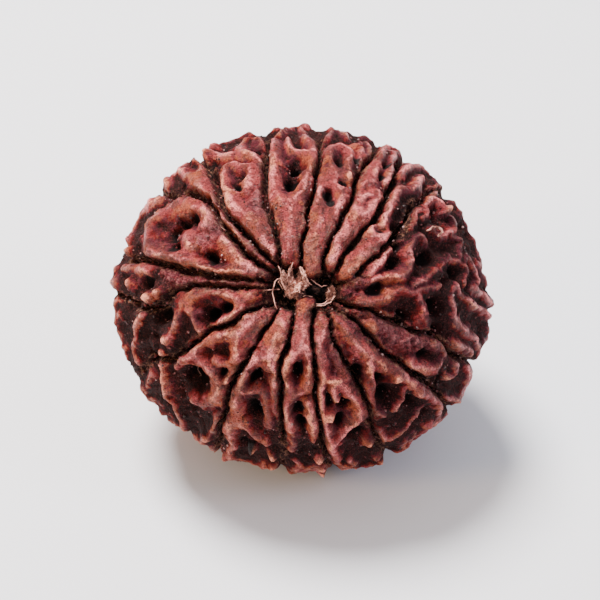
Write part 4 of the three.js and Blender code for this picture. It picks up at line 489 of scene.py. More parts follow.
# How far free fibres wobble in millimetres, how far a wisp's fibres part as a share of its width, and how
# dark the hair-thin fibres are
STRAND_WOBBLE = 0.035
WISP_WAVE = 0.24
LOOSE_DARKNESS = 0.6

# Lumps of the tuft: how often their ball is divided, and where their middles lie as a share of their height
TUFT_SUBDIVISIONS = 5
TUFT_SINK = 0.45

# Short fibres strewn over the lumps: how many shapes, steps along each, radius as a share of the length,
# number for each square metre, least and greatest length in millimetres, and tilt in radians
FIBRE_SHAPES = 7
FIBRE_STEPS = 9
FIBRE_RADIUS = 0.03
FIBRE_DENSITY = 1.6e7
FIBRE_LENGTHS = (0.35, 0.95)
FIBRE_TILT = 0.35
FULL_TURN = 6.28

# Painted shade darkens the tuft between these depths below the body, with the body's half length as the
# measure
DARK_DEPTHS = (1.6, 2.7)
SHORT_HALF = 12.3

# Grains: number for each square metre, and the smallest one's radius as a share of the largest one's
GRAIN_DENSITY = 3.2e6
SMALLEST_GRAIN = 0.35

# Seeds of the random draws in the fibre shapes, the wisps, the strewn fibres and the grains
SHAPE_SEED = 5
WISP_SEED = 12
STREW_SEED = 9
GRAIN_SEED = 4

# Inner ends of the seams beside the broad end of the bottom face, by place in the list
SPREAD_SEAMS = {8: [1.5, -0.3], 9: [-0.65, -0.1]}

# Share of the grains that lie in the seams
SEAM_GRAIN = 1.0

# Marks of the stone's mesh that its finish reads
SHELL_MARKS = ("crown", "rub_highlight_and_crease_shade", "hollow", "seam", "face_tint", "dull", "knob", "shade", "deep", "streak")

# Clouds of the stone's finish: scale, detail, roughness and distortion
SHELL_CLOUDS = {
    "broad": (240, 3, 0.55, 0.4),
    "middle": (720, 4, 0.62, 0.7),
    "fine": (2400, 4, 0.7),
    "grit": (8200, 3, 0.75),
    "patches": (430, 3, 0.5, 0.5),
    "streaks": (900, 3, 0.6, 1.2),
    "crust": (3200, 3, 0.6),
    "threads": (2600, 3, 0.65, 1.0),
    "specks": (4300, 2, 0.6),
}

# How far each cloud swings the rubbed and shaded height, and the way towards the warm lamp, whose painted
# warm light the ridges' sides get
HEIGHT_SWINGS = {"broad": 1.15, "middle": 0.6, "fine": 0.36}
WARM_LAMP_SIDE = (-0.8, -0.38, -0.46)

# Lamps: name, place and size in metres, power in watts, and colour
LIGHTS = (
    ("key lamp", (-0.12, 0.14, 0.42), 0.18, 7.2, (1.0, 0.97, 0.95)),
    ("warm lamp", (-0.36, -0.16, 0.20), 0.12, 1.1, (1.0, 0.66, 0.36)),
    ("cool lamp", (0.34, -0.10, 0.26), 0.16, 0.7, (0.82, 0.80, 1.0)),
)
SKY_AT_FLOOR = 0.2
SKY_OVERHEAD = 0.95
FLOOR_REACH = 2.0

# The camera's lens, and how far its aim is moved to the right and up, in millimetres
LENS = 119.5
AIM_ASIDE = (-0.04, -0.08)


def unit(degrees):
    """Sine and cosine of an angle in degrees."""
    return math.sin(math.radians(degrees)), math.cos(math.radians(degrees))


RISE_SIN, RISE_COS = unit(STALK_RISE)
SIGHT_SIN, SIGHT_COS = unit(SIGHT_RISE)
ACROSS = np.array([1.0, 0.0, 0.0])
BREADTH_AXIS = np.array([0.0, RISE_SIN, RISE_COS])
STALK_AXIS = np.array([0.0, -RISE_COS, RISE_SIN])
AXES = np.array([ACROSS, BREADTH_AXIS, STALK_AXIS])
SIGHT_UP = np.array([0.0, SIGHT_SIN, SIGHT_COS])
SIGHT_BACK = np.array([0.0, -SIGHT_COS, SIGHT_SIN])


def smooth(low, high, x):
    """0 up to low, 1 from high on, and an even curve between."""
    t = np.clip((x - low) / (high - low), 0.0, 1.0)
    return t * t * (3.0 - 2.0 * t)


def band(x, begins, full, fades, ends, most=1.0):
    """Most between full and fades, and an even fall to 0 on both sides."""
    return most * smooth(begins, full, x) * (1 - smooth(fades, ends, x))


def drawer(seed):
    """A repeatable draw of numbers from 0 to 1."""
    state = seed

    def multiply(a, b):
        return (a * b) & 0xFFFFFFFF

    def draw():
        nonlocal state
        state = (state + 0x6D2B79F5) & 0xFFFFFFFF
        t = multiply(state ^ (state >> 15), 1 | state)
        t = ((t + multiply(t ^ (t >> 7), 61 | t)) & 0xFFFFFFFF) ^ t
        return (t ^ (t >> 14)) / 4294967296

    return draw


class Body:
    """The smooth body of the stone, over its ridge tops, with its middle at the origin."""

    def __init__(self, width, breadth, length):
        self.half = np.array([width, breadth, length]) / 2

    def point(self, ball):
        """From directions of the round ball to points of the body."""
        return (np.asarray(ball) * self.half) @ AXES

    def normal(self, ball):
        """Outward directions of the body at directions of the ball."""
        n = (np.asarray(ball) / self.half) @ AXES
        return n / np.linalg.norm(n, axis=-1, keepdims=True)

    def ball(self, point):
        """From points of the body to directions of the ball."""
        return (np.asarray(point) @ AXES.T) / self.half

    def meet(self, start, towards):
        """Where a straight line first meets the body, or its nearest point where it passes by."""
        a = self.ball(start)
        step = self.ball(np.asarray(towards) - start)
        square = step @ step
        lean = a @ step
        within = max(0.0, lean * lean - square * (a @ a - 1.0))
        q = a + step * ((-lean - math.sqrt(within)) / square)
        return self.point(q / np.linalg.norm(q))

    def seen(self, u, v):
        """The point that shows at u to the right and v up, seen from in front and above."""
        return self.meet(SIGHT_BACK * SIGHT_DISTANCE, ACROSS * u + SIGHT_UP * v)

    def under(self, x, y):
        """The point straight above a place on the floor."""
        return self.meet(np.array([x, y, -SIGHT_DISTANCE]), np.array([x, y, 0.0]))

    def polar(self, from_stalk, round_):
        """The point at an angle from the stalk end and an angle round the stalk axis."""
        ts, tc = unit(from_stalk)
        rs, rc = unit(round_)
        return self.point(np.array([ts * rc, ts * rs, tc]))


def ridge_rise(gap, width):
    """Height of one ridge at a distance from its middle: a rounded crest on a long skirt."""
    crest = 1 - smooth(-width * 0.1, width / 2 + FLANK, gap)
    skirt = 1 - smooth(width * 0.25, width / 2 + SKIRT, gap)
    return CREST_SHARE * crest + (1 - CREST_SHARE) * skirt


class Path:
    """A smooth line on the body, as short straight steps that carry a width."""

    def __init__(self, points, widths):
        points = [np.asarray(p, float) for p in points]
        spans = [self.span(points, i) for i in range(len(points) - 1)]
        length = sum(np.linalg.norm(b - a) for a, b in zip(points, points[1:]))
        per_span = max(2, math.ceil(length / PATH_STEP / len(spans)))
        share = np.arange(per_span) / per_span
        self.at = np.array([span(t) for span in spans for t in share] + [points[-1]])
        between = [w0 + (w1 - w0) * t for w0, w1 in zip(widths, widths[1:]) for t in share]
        self.width = np.array(between + [widths[-1]])
        self.middle = self.at.mean(0)
        self.reach = np.linalg.norm(self.at - self.middle, axis=1).max()

    @staticmethod
    def span(points, i):
        """One stretch of a centripetal Catmull-Rom curve, as a function of 0 to 1."""
        p1, p2 = points[i], points[i + 1]
        p0 = points[i - 1] if i else 2 * p1 - p2
        p3 = points[i + 2] if i + 2 < len(points) else 2 * p2 - p1
        d0, d1, d2 = (max(1e-4, np.linalg.norm(b - a)) ** 0.5 for a, b in ((p0, p1), (p1, p2), (p2, p3)))
        m1 = ((p1 - p0) / d0 - (p2 - p0) / (d0 + d1) + (p2 - p1) / d1) * d1
        m2 = ((p2 - p1) / d1 - (p3 - p1) / (d1 + d2) + (p3 - p2) / d2) * d1

        def place(t):
            a, b = 2 * t**3 - 3 * t**2 + 1, t**3 - 2 * t**2 + t
            c, d = -2 * t**3 + 3 * t**2, t**3 - t**2
            return a * p1 + b * m1 + c * p2 + d * m2

        return place

    def near(self, points, margin):
        """Indices of the points within margin, their distances to the path, and its width there."""
        index = np.nonzero(((points - self.middle) ** 2).sum(1) < (self.reach + margin) ** 2)[0]
        gap = np.full(len(index), np.inf)
        width = np.zeros(len(index))
        q = points[index]
        for a, b, w0, w1 in zip(self.at, self.at[1:], self.width, self.width[1:]):
            d = b - a
            t = np.clip((q - a) @ d / (d @ d + 1e-12), 0.0, 1.0)
            g = np.linalg.norm(q - a - t[:, None] * d, axis=1)
            w = w0 + (w1 - w0) * t
            better = g - w / 2 < gap - width / 2
            gap = np.where(better, g, gap)
            width = np.where(better, w, width)
        kept = gap - width / 2 < margin
        return index[kept], gap[kept], width[kept]


class Relief:
    """Every ridge, knob, pit and seam of the stone."""

    def __init__(self, body):
        self.body = body
        self.ridges = []
        self.dull = []
        for lobe, strokes in RIDGES.items():
            for k, stroke in enumerate(strokes):
                path = Path([body.seen(u, v) for u, v, _ in stroke], [w for _, _, w in stroke])
                self.ridges.append(path)
                if (lobe, k) in DULL_RIDGES:
                    self.dull.append(path)
        self.knobs = [(body.seen(u, v), w) for u, v, w in KNOBS]
        self.pits = [(body.seen(u, v), w) for u, v, w in PITS]
        self.seams = []
        for k, (line, width) in enumerate(zip(SEAMS, SEAM_WIDTHS)):
            along = [SPREAD_SEAMS.get(k) or self.towards_hub(line[0]), *line]
            widths = [width * FURROW_SHARE * min(1.0, SEAM_START + SEAM_GAIN * i) for i in range(len(along))]
            self.seams.append(Path([body.seen(u, v) for u, v in along], widths))
        self.draw = drawer(RULE_SEED)
        self.add_hidden_half()
        for stroke in REST_NET:
            self.ridges.append(Path([body.under(x, y) for x, y, _ in stroke], [w for _, _, w in stroke]))

    @staticmethod
    def towards_hub(point):
        """The place a little nearer to the middle of the stalk hollow."""
        return [a + (b - a) * SEAM_INSET for a, b in zip(point, HOLLOW_CENTRE)]

    def spread(self, middle, reach):
        """The next draw, within reach of a middle value."""
        return middle + (self.draw() * 2 - 1) * reach

    def add_hidden_half(self):
        """The seams run on to the tip, and each face carries a ridge that forks into barred rails."""
        balls = [self.body.ball(seam.at[-1]) for seam in self.seams]
        self.starts = sorted(math.degrees(math.atan2(b[1], b[0])) for b in balls)
        self.faces = len(self.starts)
        self.sway = [(self.spread(2.2, 1.2), self.spread(0, 180)) for _ in self.starts]
        for face in range(self.faces):
            angles = list(range(RIM + 1, TIP_END + 1, 4))
            along = [self.body.polar(t, self.seam_round(face, t)) for t in angles]
            self.seams.append(Path(along, [FURROW_WIDTH] * len(along)))
            self.add_face(face)

    def seam_round(self, i, from_stalk):
        """Angle round the stone of seam i, at an angle from the stalk end."""
        lap, k = divmod(i, self.faces)
        start = self.starts[k]
        even = self.starts[0] + k * 360 / self.faces - start
        reach, turn = self.sway[k]
        share = smooth(RIM, 150, from_stalk) * 0.6
        wave = reach * math.sin(math.radians(from_stalk * 5 + turn)) * smooth(RIM, 100, from_stalk)
        return start + lap * 360 + even * share + wave

    def face_point(self, face, share, from_stalk):
        """The point at a share of a face's width, at an angle from the stalk end."""
        low = self.seam_round(face, from_stalk)
        high = self.seam_round(face + 1, from_stalk)
        return self.body.polar(from_stalk, low + (high - low) * share)

    def add_ridge(self, face, places):
        """A ridge on a face, from its places: share of the face, angle from the stalk end, and width."""
        along = [self.face_point(face, share, from_stalk) for share, from_stalk, _ in places]
        self.ridges.append(Path(along, [width for _, _, width in places]))

    def add_face(self, face):
        """A ridge from the tip that forks into rails, with bars between them, knobs at the rim, and pits."""
        fork = self.spread(*FORK)
        middle = self.spread(0.5, 0.06)
        self.add_ridge(face, [
            (middle, 172, 0.8),
            (self.spread(0.5, 0.08), 164, 1.1),
            (self.spread(0.5, 0.08), (164 + fork) / 2, 1.5),
            (middle, fork, 1.9),
        ])
        broad = self.seam_round(face + 1, 100) - self.seam_round(face, 100) > BROAD_FACE
        rails = BROAD_RAILS if broad else RAILS
        bars = [self.spread(*bar) for bar in BARS]
        for rail in rails:
            self.add_ridge(face, self.rail_places(rail, middle, fork))
        for bar in bars:
            lean = self.spread(0, 4)
            first = int(self.draw() * (len(rails) - 1))
            between = (rails[first] + rails[first + 1]) / 2
            self.add_ridge(face, [
                (rails[first], bar - lean, 1.0),
                (between, bar, self.spread(1.1, 0.3)),
                (rails[first + 1], bar + lean, 1.0),
            ])
        for k in range(RIM_KNOBS + broad):
            share = (k + 0.5) / (RIM_KNOBS + broad)
            at = self.face_point(face, self.spread(share, 0.1), self.spread(80, 4))
            self.knobs.append((at, self.spread(1.5, 0.4)))
        for upper, lower in zip(bars, bars[1:]):
            at = self.face_point(face, self.spread(0.5, 0.05), (upper + lower) / 2)
            place = (at, self.spread(1.0, 0.25))
            (self.knobs if self.draw() < KNOB_SHARE else self.pits).append(place)

    def rail_places(self, rail, middle, fork):
        """Places of one rail, from the fork to the rim."""
        places = [((rail + middle) / 2, fork - 1, 1.2)]
        from_stalk = fork - 7
        while from_stalk > RAIL_END:
            places.append((self.spread(rail, 0.07), from_stalk, self.spread(1.15, 0.35)))
            from_stalk -= self.spread(7.5, 1)
        return places

    def rise(self, points, swell):
        """How far the ridges stand up, how near their middles are, and the marks of dull ridges and knobs."""
        stood = np.zeros(len(points))
        crown = np.zeros(len(points))
        dull = np.zeros(len(points))
        knob = np.zeros(len(points))
        for path in self.ridges:
            index, gap, width = path.near(points, SKIRT + 0.3)
            width = width * swell[index]
            part = ridge_rise(gap, width) ** MERGE_POWER
            stood[index] += part
            crown[index] = np.maximum(crown[index], 1 - gap / (width / 2 + CROWN_REACH))
            if path in self.dull:
                dull[index] += part
        for k, (at, width) in enumerate(self.knobs):
            gap = np.linalg.norm(points - at, axis=1)
            part = ridge_rise(gap, width * swell)
            knob = np.maximum(knob, part * (1.0 if k < len(KNOBS) else HIDDEN_KNOB_SHARE))
            stood += part ** MERGE_POWER
            crown = np.maximum(crown, 1 - gap / (width * swell / 2 + CROWN_REACH))
        rise = np.minimum(1.0, stood ** (1 / MERGE_POWER))
        return rise, crown, dull / (stood + 0.02), smooth(0.45, 0.95, knob)

    def pitted(self, points):
        """How deep in a pit each point is, from 0 to 1."""
        pit = np.zeros(len(points))
        for at, width in self.pits:
            gap = np.linalg.norm(points - at, axis=1)
            pit = np.maximum(pit, 1 - smooth(width * 0.22, width / 2 + 0.4, gap))
        return pit

    def seamed(self, points, most=1.2):
        """Distances to the nearest seam, and how deep the seams cut."""
        gap = np.full(len(points), most)
        cut = np.zeros(len(points))
        for path in self.seams:
            index, near, width = path.near(points, most)
            gap[index] = np.minimum(gap[index], near)
            cut[index] = np.maximum(cut[index], 1 - smooth(0.05, width / 2, near))
        return gap, cut


def lumps(points, size, octaves=2, shift=0.0):
    """Smooth unevenness, from about -1 to 1, with lumps of about a size in millimetres."""
    basis = "PERLIN_ORIGINAL"
    scaled = points / size + shift
    return np.array([noise.fractal(Vector(p), 1.0, 2.0, octaves, noise_basis=basis) for p in scaled])


def cube_ball(cells):
    """Directions and quads of a closed ball of six square patches, nearly even all over."""
    edge = np.tan(np.linspace(-1, 1, cells + 1) * math.pi / 4)
    index, points, quads = {}, [], []

    def vertex(place):
        key = tuple(np.round(place, 9))
        if key not in index:
            index[key] = len(points)
            points.append(place)
        return index[key]

    for axis in range(3):
        for side in (-1.0, 1.0):
            ids = np.empty((cells + 1, cells + 1), int)
            for i, a in enumerate(edge):
                for j, b in enumerate(edge):
                    place = [0.0, 0.0, 0.0]
                    place[axis] = side
                    place[(axis + 1) % 3] = a
                    place[(axis + 2) % 3] = b
                    ids[i, j] = vertex(place)
            corners = [ids[:-1, :-1], ids[1:, :-1], ids[1:, 1:], ids[:-1, 1:]]
            if side < 0:
                corners.reverse()
            quads.append(np.stack(corners, -1).reshape(-1, 4))
    ball = np.array(points)
    return ball / np.linalg.norm(ball, axis=1, keepdims=True), np.concatenate(quads)


def blurred(values, quads, rounds):
    """The values averaged with their neighbours' along the mesh, again and again."""
    edges = np.concatenate([quads[:, [0, 1]], quads[:, [1, 2]], quads[:, [2, 3]], quads[:, [3, 0]]])
    count = np.bincount(edges.ravel(), minlength=len(values))
    for _ in range(rounds):
        total = np.bincount(edges[:, 0], values[edges[:, 1]], len(values))
        total += np.bincount(edges[:, 1], values[edges[:, 0]], len(values))
        values = 0.4 * values + 0.6 * total / count
    return values


def new_mesh_object(name, points, faces):
    """An object whose place is in its mesh, from points in millimetres round the stone's middle."""
    mesh = bpy.data.meshes.new(name)
    mesh.from_pydata(((np.asarray(points) + PLACE) * MM).tolist(), [], [list(map(int, f)) for f in faces])
    mesh.update()
    thing = bpy.data.objects.new(name, mesh)
    bpy.context.collection.objects.link(thing)
    return thing


def shade_smooth(thing):
    """Every face of the piece is shaded as a part of a round surface."""
    thing.data.polygons.foreach_set("use_smooth", [True] * len(thing.data.polygons))


def store(thing, name, values):
    """A number for each point of the mesh, which the finish reads."""
    layer = thing.data.attributes.new(name, "FLOAT", "POINT")
    layer.data.foreach_set("value", np.asarray(values, np.float32))


class Nodes:
    """Short ways to build a node tree."""

    def __init__(self, tree):
        self.tree = tree

    def add(self, kind, inputs=None, **values):
        """A node with its inputs and settings."""
        made = self.tree.nodes.new(kind)
        for name, value in values.items():
            setattr(made, name, value)
        for name, value in (inputs or {}).items():
            self.set(made.inputs[name], value)
        return made

    def set(self, socket, value):
        """Links another node's output to a socket, or sets its value."""
        if isinstance(value, bpy.types.NodeSocket):
            self.tree.links.new(value, socket)
        else:
            socket.default_value = value

    def math(self, operation, *values, clamp=False):
        made = self.tree.nodes.new("ShaderNodeMath")
        made.operation = operation
        made.use_clamp = clamp
        for socket, value in zip(made.inputs, values):
            self.set(socket, value)
        return made.outputs[0]

    def between(self, value, low, high, to_low=0.0, to_high=1.0):
        """An even curve from to_low, at low, to to_high, at high."""
        made = self.add("ShaderNodeMapRange", interpolation_type="SMOOTHSTEP")
        self.set(made.inputs["Value"], value)
        for name, number in (("From Min", low), ("From Max", high), ("To Min", to_low), ("To Max", to_high)):
            self.set(made.inputs[name], number)
        return made.outputs[0]

    def blend(self, share, one, other, kind="MIX"):
        """A mix of two colours. The node has other sockets of the same names, so they are taken by place."""
        made = self.add("ShaderNodeMix", data_type="RGBA", blend_type=kind)
        for socket, value in ((made.inputs[0], share), (made.inputs[6], one), (made.inputs[7], other)):
            self.set(socket, value)
        return made.outputs[2]

    def cloud(self, place, scale, detail=3.0, rough=0.55, distortion=0.0):
        return self.add("ShaderNodeTexNoise", {
            "Vector": place, "Scale": scale, "Detail": detail, "Roughness": rough, "Distortion": distortion,
        }).outputs["Fac"]

    def swing(self, cloud, reach):
        """A cloud as an unevenness above and below 0."""
        return self.math("MULTIPLY", self.math("SUBTRACT", cloud, 0.5), reach)

    def attribute(self, name):
        return self.add("ShaderNodeAttribute", attribute_name=name).outputs["Fac"]

    def bump(self, height, strength, distance):
        made = self.add("ShaderNodeBump", {"Height": height, "Strength": strength, "Distance": distance})
        return made.outputs["Normal"]


def new_finish(name):
    """An empty finish, with its builder and its shader."""
    finish = bpy.data.materials.new(name)
    finish.use_nodes = True
    nodes = Nodes(finish.node_tree)
    shader = finish.node_tree.nodes["Principled BSDF"]
    place = nodes.add("ShaderNodeTexCoord").outputs["Object"]
    return finish, nodes, shader, place


def linear(red, green, blue):
    """A colour as a screen shows it, 0 to 255, as the renderer's own numbers."""
    return tuple(((c / 255 + 0.055) / 1.055) ** 2.4 if c > 10 else c / 3294 for c in (red, green, blue))


def opaque(colour):
    """A colour with its fourth number, which the nodes ask for."""
    return (*colour, 1.0)


class ShellFinish:
    """The stone's finish, whose parts share the marks of its mesh and a set of clouds."""

    def __init__(self, look):
        self.finish, self.nodes, self.shader, place = new_finish("ridged_shell")
        n = self.nodes
        self.look = look
        self.mark = {name: n.attribute(name) for name in SHELL_MARKS}
        self.cloud = {name: n.cloud(place, *shape) for name, shape in SHELL_CLOUDS.items()}
        # How far the surface faces the warm lamp, for painted warm light on those sides
        facing = n.add("ShaderNodeNewGeometry").outputs["Normal"]
        compared = n.add("ShaderNodeVectorMath", {0: facing, 1: WARM_LAMP_SIDE}, operation="DOT_PRODUCT")
        self.lean = compared.outputs["Value"]
        self.height = self.rubbed_and_shaded_height()
        # Random patches, shifted by painted warm light on the sides that face the warm lamp
        self.patches_and_warm_light = n.math("ADD", self.cloud["patches"], n.math("MULTIPLY", self.lean, 0.16))
        self.streak = self.purple_streak()
        self.warm = self.warmth()

    def rubbed_and_shaded_height(self):
        """How high and rubbed a spot is, lowered by painted shade in creases, low places and shaded faces:
        ground near 0, ridge tops from 0.7, and the palest from 0.9.
        """
        n, mark = self.nodes, self.mark
        height = n.math("MULTIPLY_ADD", mark["crown"], 0.84, -0.1)
        # Rubbed wear and painted highlight on what stands out, painted shade in the creases
        height = n.math("ADD", height, n.math("MULTIPLY", mark["rub_highlight_and_crease_shade"], 0.5))
        for name, reach in HEIGHT_SWINGS.items():
            height = n.math("ADD", height, n.swing(self.cloud[name], reach))
        # Painted shade: the lower the skin lies, the darker
        height = n.math("SUBTRACT", height, n.math("MULTIPLY", mark["deep"], 0.5))
        height = n.math("ADD", height, n.math("MULTIPLY", n.between(mark["knob"], 0.7, 1.0), 0.2))
        height = n.math("SUBTRACT", height, n.math("MULTIPLY", mark["dull"], 0.25))
        # Painted shade on the shaded faces lowers the height, most where it is low, so they turn darker
        darkened = n.between(height, 0.6, 1.0, 0.46, 0.08)
        return n.math("SUBTRACT", height, n.math("MULTIPLY", mark["shade"], darkened))

    def purple_streak(self):
        """Streaks that fan out from the stalk end, fewer on the sides that face the warm lamp, as painted
        light.
        """
        n = self.nodes
        fanned = n.math("MULTIPLY", self.mark["streak"], -0.4)
        streak = n.math("ADD", n.math("MULTIPLY", self.cloud["streaks"], 0.6), fanned)
        return n.math("SUBTRACT", n.math("ADD", streak, 0.4), n.math("MULTIPLY", self.lean, 0.1))

    def warmth(self):
        """Orange patches, with painted warm light on the sides that face the warm lamp, and on the knobs."""
        n, height = self.nodes, self.height
        side = n.math("MULTIPLY", n.between(height, 0.25, 0.5), n.between(height, 0.7, 1.0, 1.0, 0.3))
        warm = n.math("MULTIPLY", n.between(self.patches_and_warm_light, 0.5, 0.6), side)
        return n.math("MAXIMUM", warm, n.between(self.mark["knob"], 0.4, 0.95, 0.0, 0.8))

    def ground(self):
        """Dull dark ground with paler grains, partly painted glints, blackened with painted shade on the
        shaded faces.
        """
        n, look, shade = self.nodes, self.look, self.mark["shade"]
        mottle = n.between(self.cloud["fine"], 0.42, 0.6)
        ground = n.blend(mottle, opaque(look.ground_dark), opaque(look.ground))
        # Painted shade: the ground turns black on the shaded faces
        ground = n.blend(n.math("MULTIPLY", shade, 0.8), ground, opaque(look.ground_shade))
        # Paler grains, partly painted glints, fewer on the shaded faces
        grains = n.between(self.cloud["grit"], 0.55, 0.66, 0.0, 0.65)
        grains = n.math("MULTIPLY", grains, n.between(shade, 0.3, 1.0, 1.0, 0.5))
        return n.blend(grains, ground, opaque(look.ground_grain))

    def flank(self):
        """Sides of the ridges, red with purple streaks."""
        n, look = self.nodes, self.look
        return n.blend(n.between(self.streak, 0.46, 0.56), opaque(look.flank), opaque(look.flank_purple))

    def crest(self):
        """Pink ridge tops with brown, orange and red patches, the orange partly painted warm light, and
        purple streaks where they are low.
        """
        n, look = self.nodes, self.look
        browned = n.math("MULTIPLY", self.cloud["broad"], 0.6)
        browned = n.math("ADD", browned, n.math("MULTIPLY", self.mark["streak"], 0.4))
        crest = n.blend(n.between(browned, 0.42, 0.54), opaque(look.crest_brown), opaque(look.crest_pink))
        # Orange patches, partly painted warm light on the sides that face the warm lamp
        crest = n.blend(n.math("MULTIPLY", self.warm, 0.85), crest, opaque(look.crest_orange))
        crest = n.blend(n.between(self.mark["face_tint"], 0.5, 0.85, 0.0, 0.4), crest, opaque(look.flank))
        low = n.between(self.height, 0.5, 1.0, 0.9, 0.1)
        purple = n.math("MULTIPLY", n.between(self.streak, 0.5, 0.6), low)
        return n.blend(purple, crest, opaque(look.flank_purple))

    def palest(self):
        """The most rubbed spots with a painted highlight, gold where the warm lamp falls."""
        n, look = self.nodes, self.look
        warm_lit_highlight = n.between(self.patches_and_warm_light, 0.48, 0.56, 0.0, 0.75)
        warm_lit_highlight = n.math("MAXIMUM", warm_lit_highlight, n.math("MULTIPLY", self.warm, 0.8))
        return n.blend(warm_lit_highlight, opaque(look.crest_pale_highlight), opaque(look.crest_gold_highlight))

    def dull_skin(self):
        """The grained skin of the dull ridges."""
        n, look = self.nodes, self.look
        crusted = n.between(self.cloud["crust"], 0.44, 0.6)
        return n.blend(crusted, opaque(look.flank_purple), opaque(look.dull_pink))

    def colour(self):
        """The skin from the ground up to the ridge tops, then its dull skin, the painted shade of its pits
        and hollows, and threads.
        """
        n, look, mark, height = self.nodes, self.look, self.mark, self.height
        colour = n.blend(n.between(height, 0.1, 0.4), self.ground(), self.flank())
        colour = n.blend(n.between(height, 0.36, 0.72), colour, self.crest())
        # Painted highlight over the paler rubbed tops
        colour = n.blend(n.between(height, 0.88, 1.24), colour, self.palest())
        dull = n.math("MULTIPLY", mark["dull"], n.between(mark["knob"], 0.2, 0.6, 0.85, 0.0))
        colour = n.blend(dull, colour, self.dull_skin())
        # Painted shade: pits, hollows and creases turn to the pit's near-black
        colour = n.blend(n.between(mark["hollow"], 0.2, 0.7), colour, opaque(look.pit))
        thread = n.between(self.cloud["threads"], 0.5, 0.6)
        thread = n.math("MULTIPLY", n.between(mark["seam"], 0.35, 0.8), thread)
        return n.blend(n.math("MULTIPLY", thread, 0.8), colour, opaque(look.thread))

    def dress(self):
        """Sets the colour with its pores and a mottle of grain and painted glints, the gloss and the fine
        relief, and gives the finish.
        """
        n, shader, grit = self.nodes, self.shader, self.cloud["grit"]
        pore = n.between(self.cloud["specks"], 0.58, 0.66)
        pore = n.math("MULTIPLY", pore, n.between(self.cloud["middle"], 0.36, 0.55))
        colour = n.blend(n.math("MULTIPLY", pore, 0.6), self.colour(), opaque(self.look.pit))
        # Fine grain that lightens and darkens the colour at random, its brightest specks painted glints
        lit = n.between(grit, 0.3, 0.7, 0.36, 1.68)
        grey = n.add("ShaderNodeCombineColor", {"Red": lit, "Green": lit, "Blue": lit}).outputs[0]
        n.set(shader.inputs["Base Color"], n.blend(1.0, colour, grey, "MULTIPLY"))
        rough = n.between(self.height, 0.4, 1.0, 0.75, 0.38)
        n.set(shader.inputs["Roughness"], n.math("ADD", rough, n.swing(grit, 0.4), clamp=True))
        n.set(shader.inputs["Specular IOR Level"], n.between(self.height, 0.3, 0.9, 0.15, 0.42))
        relief = n.math("ADD", self.cloud["fine"], n.math("MULTIPLY", grit, 0.6))
        relief = n.math("SUBTRACT", relief, n.math("MULTIPLY", pore, 0.8))
        n.set(shader.inputs["Normal"], n.bump(relief, 1.0, 0.0005))
        return self.finish


def shell_finish(look):
    """Rubbed pink ridge tops with painted highlights, orange and purple down their sides with painted warm
    light, dull ground, pits blackened with painted shade, thready seams.
    """
    return ShellFinish(look).dress()


def fibre_finish(look):
    """Dry fibre, in patches of painted light and painted shade, and darkened by its depth mark: painted shade
    at the tuft's roots, and the real darkness of the hair-thin fibres.
    """
    finish, n, shader, place = new_finish("matted_fibre")
    patch = n.cloud(place, 1500, 3, 0.6)
    fine = n.cloud(place, 5200, 3, 0.6, 0.8)
    depth = n.attribute("depth")
    # Patches of painted light and painted shade over the fibre, at two sizes
    colour = n.blend(n.between(patch, 0.4, 0.56), opaque(look.fibre_in_shade), opaque(look.fibre_in_light))
    colour = n.blend(n.between(fine, 0.34, 0.5, 0.75, 0.0), colour, opaque(look.fibre_in_shade))
    # Painted shade at the tuft's roots, and the real darkness of the hair-thin fibres
    colour = n.blend(n.between(depth, 0.15, 0.85), colour, opaque(look.pit))
    n.set(shader.inputs["Base Color"], colour)
    shader.inputs["Roughness"].default_value = 0.75
    n.set(shader.inputs["Normal"], n.bump(fine, 0.8, 0.0001))
    return finish


def grain_finish(look):
    """Coarse grains in the pits: mostly maroon, some pale as painted glints."""
    finish, n, shader, place = new_finish("pit_grain")
    patch = n.cloud(place, 1900, 2, 0.5)
    colour = n.blend(n.between(patch, 0.4, 0.56), opaque(look.ground_dark), opaque(look.flank))
    # Pale grains, painted glints in the dark pits
    colour = n.blend(n.between(patch, 0.58, 0.66), colour, opaque(look.grain_pale))
    n.set(shader.inputs["Base Color"], colour)
    shader.inputs["Roughness"].default_value = 0.42
    return finish


def finished(name):
    """A finish by its name, made when it is first asked for."""
    found = bpy.data.materials.get(name)
    if found:
        return found
    look = bpy.context.scene.rudraksha_look
    return {"ridged_shell": shell_finish, "matted_fibre": fibre_finish, "pit_grain": grain_finish}[name](look)


def body_from(sizes):
    """The stone's body, in millimetres, from the user's sizes."""
    return Body(sizes.width / MM, sizes.breadth / MM, sizes.length / MM)


def away_from(foot, place):
    """Distances of the points of the body to a place."""
    return np.linalg.norm(foot - place, axis=1)


def swayed(foot):
    """Where the drawn strokes are asked for, a little beside each point, so that their edges are uneven."""
    asked = foot
    for size, reach, shifts in SWAYS:
        asked = asked + np.stack([lumps(foot, size, 2, shift) for shift in shifts], -1) * reach
    return asked


def unseamed_level(foot, rise, dull, knob, pit, grain):
    """Height of the skin over the body, before its seams and its hollow are cut."""
    coarse = lumps(foot, 2.3, 2, 11.0)
    crumbs = smooth(0.12, 0.5, lumps(foot, 1.05, 2, 61.0)) * (1 - pit)
    ground = -GROUND_DEPTH + GROUND_WAVE * coarse + GROUND_WAVE * grain + CRUMB_HEIGHT * crumbs
    ground -= (PIT_DEPTH - GROUND_DEPTH) * pit
    crest = CREST_WAVE * lumps(foot, 2.1, 2, 3.0) + KNOT_HEIGHT * lumps(foot, 0.85, 4, 9.0)
    sunken = dull * (1 - knob)
    crest += KNOB_HEIGHT * knob - DULL_DEPTH * sunken + DULL_GRAIN * sunken * grain
    return ground * (1 - rise) + crest * rise


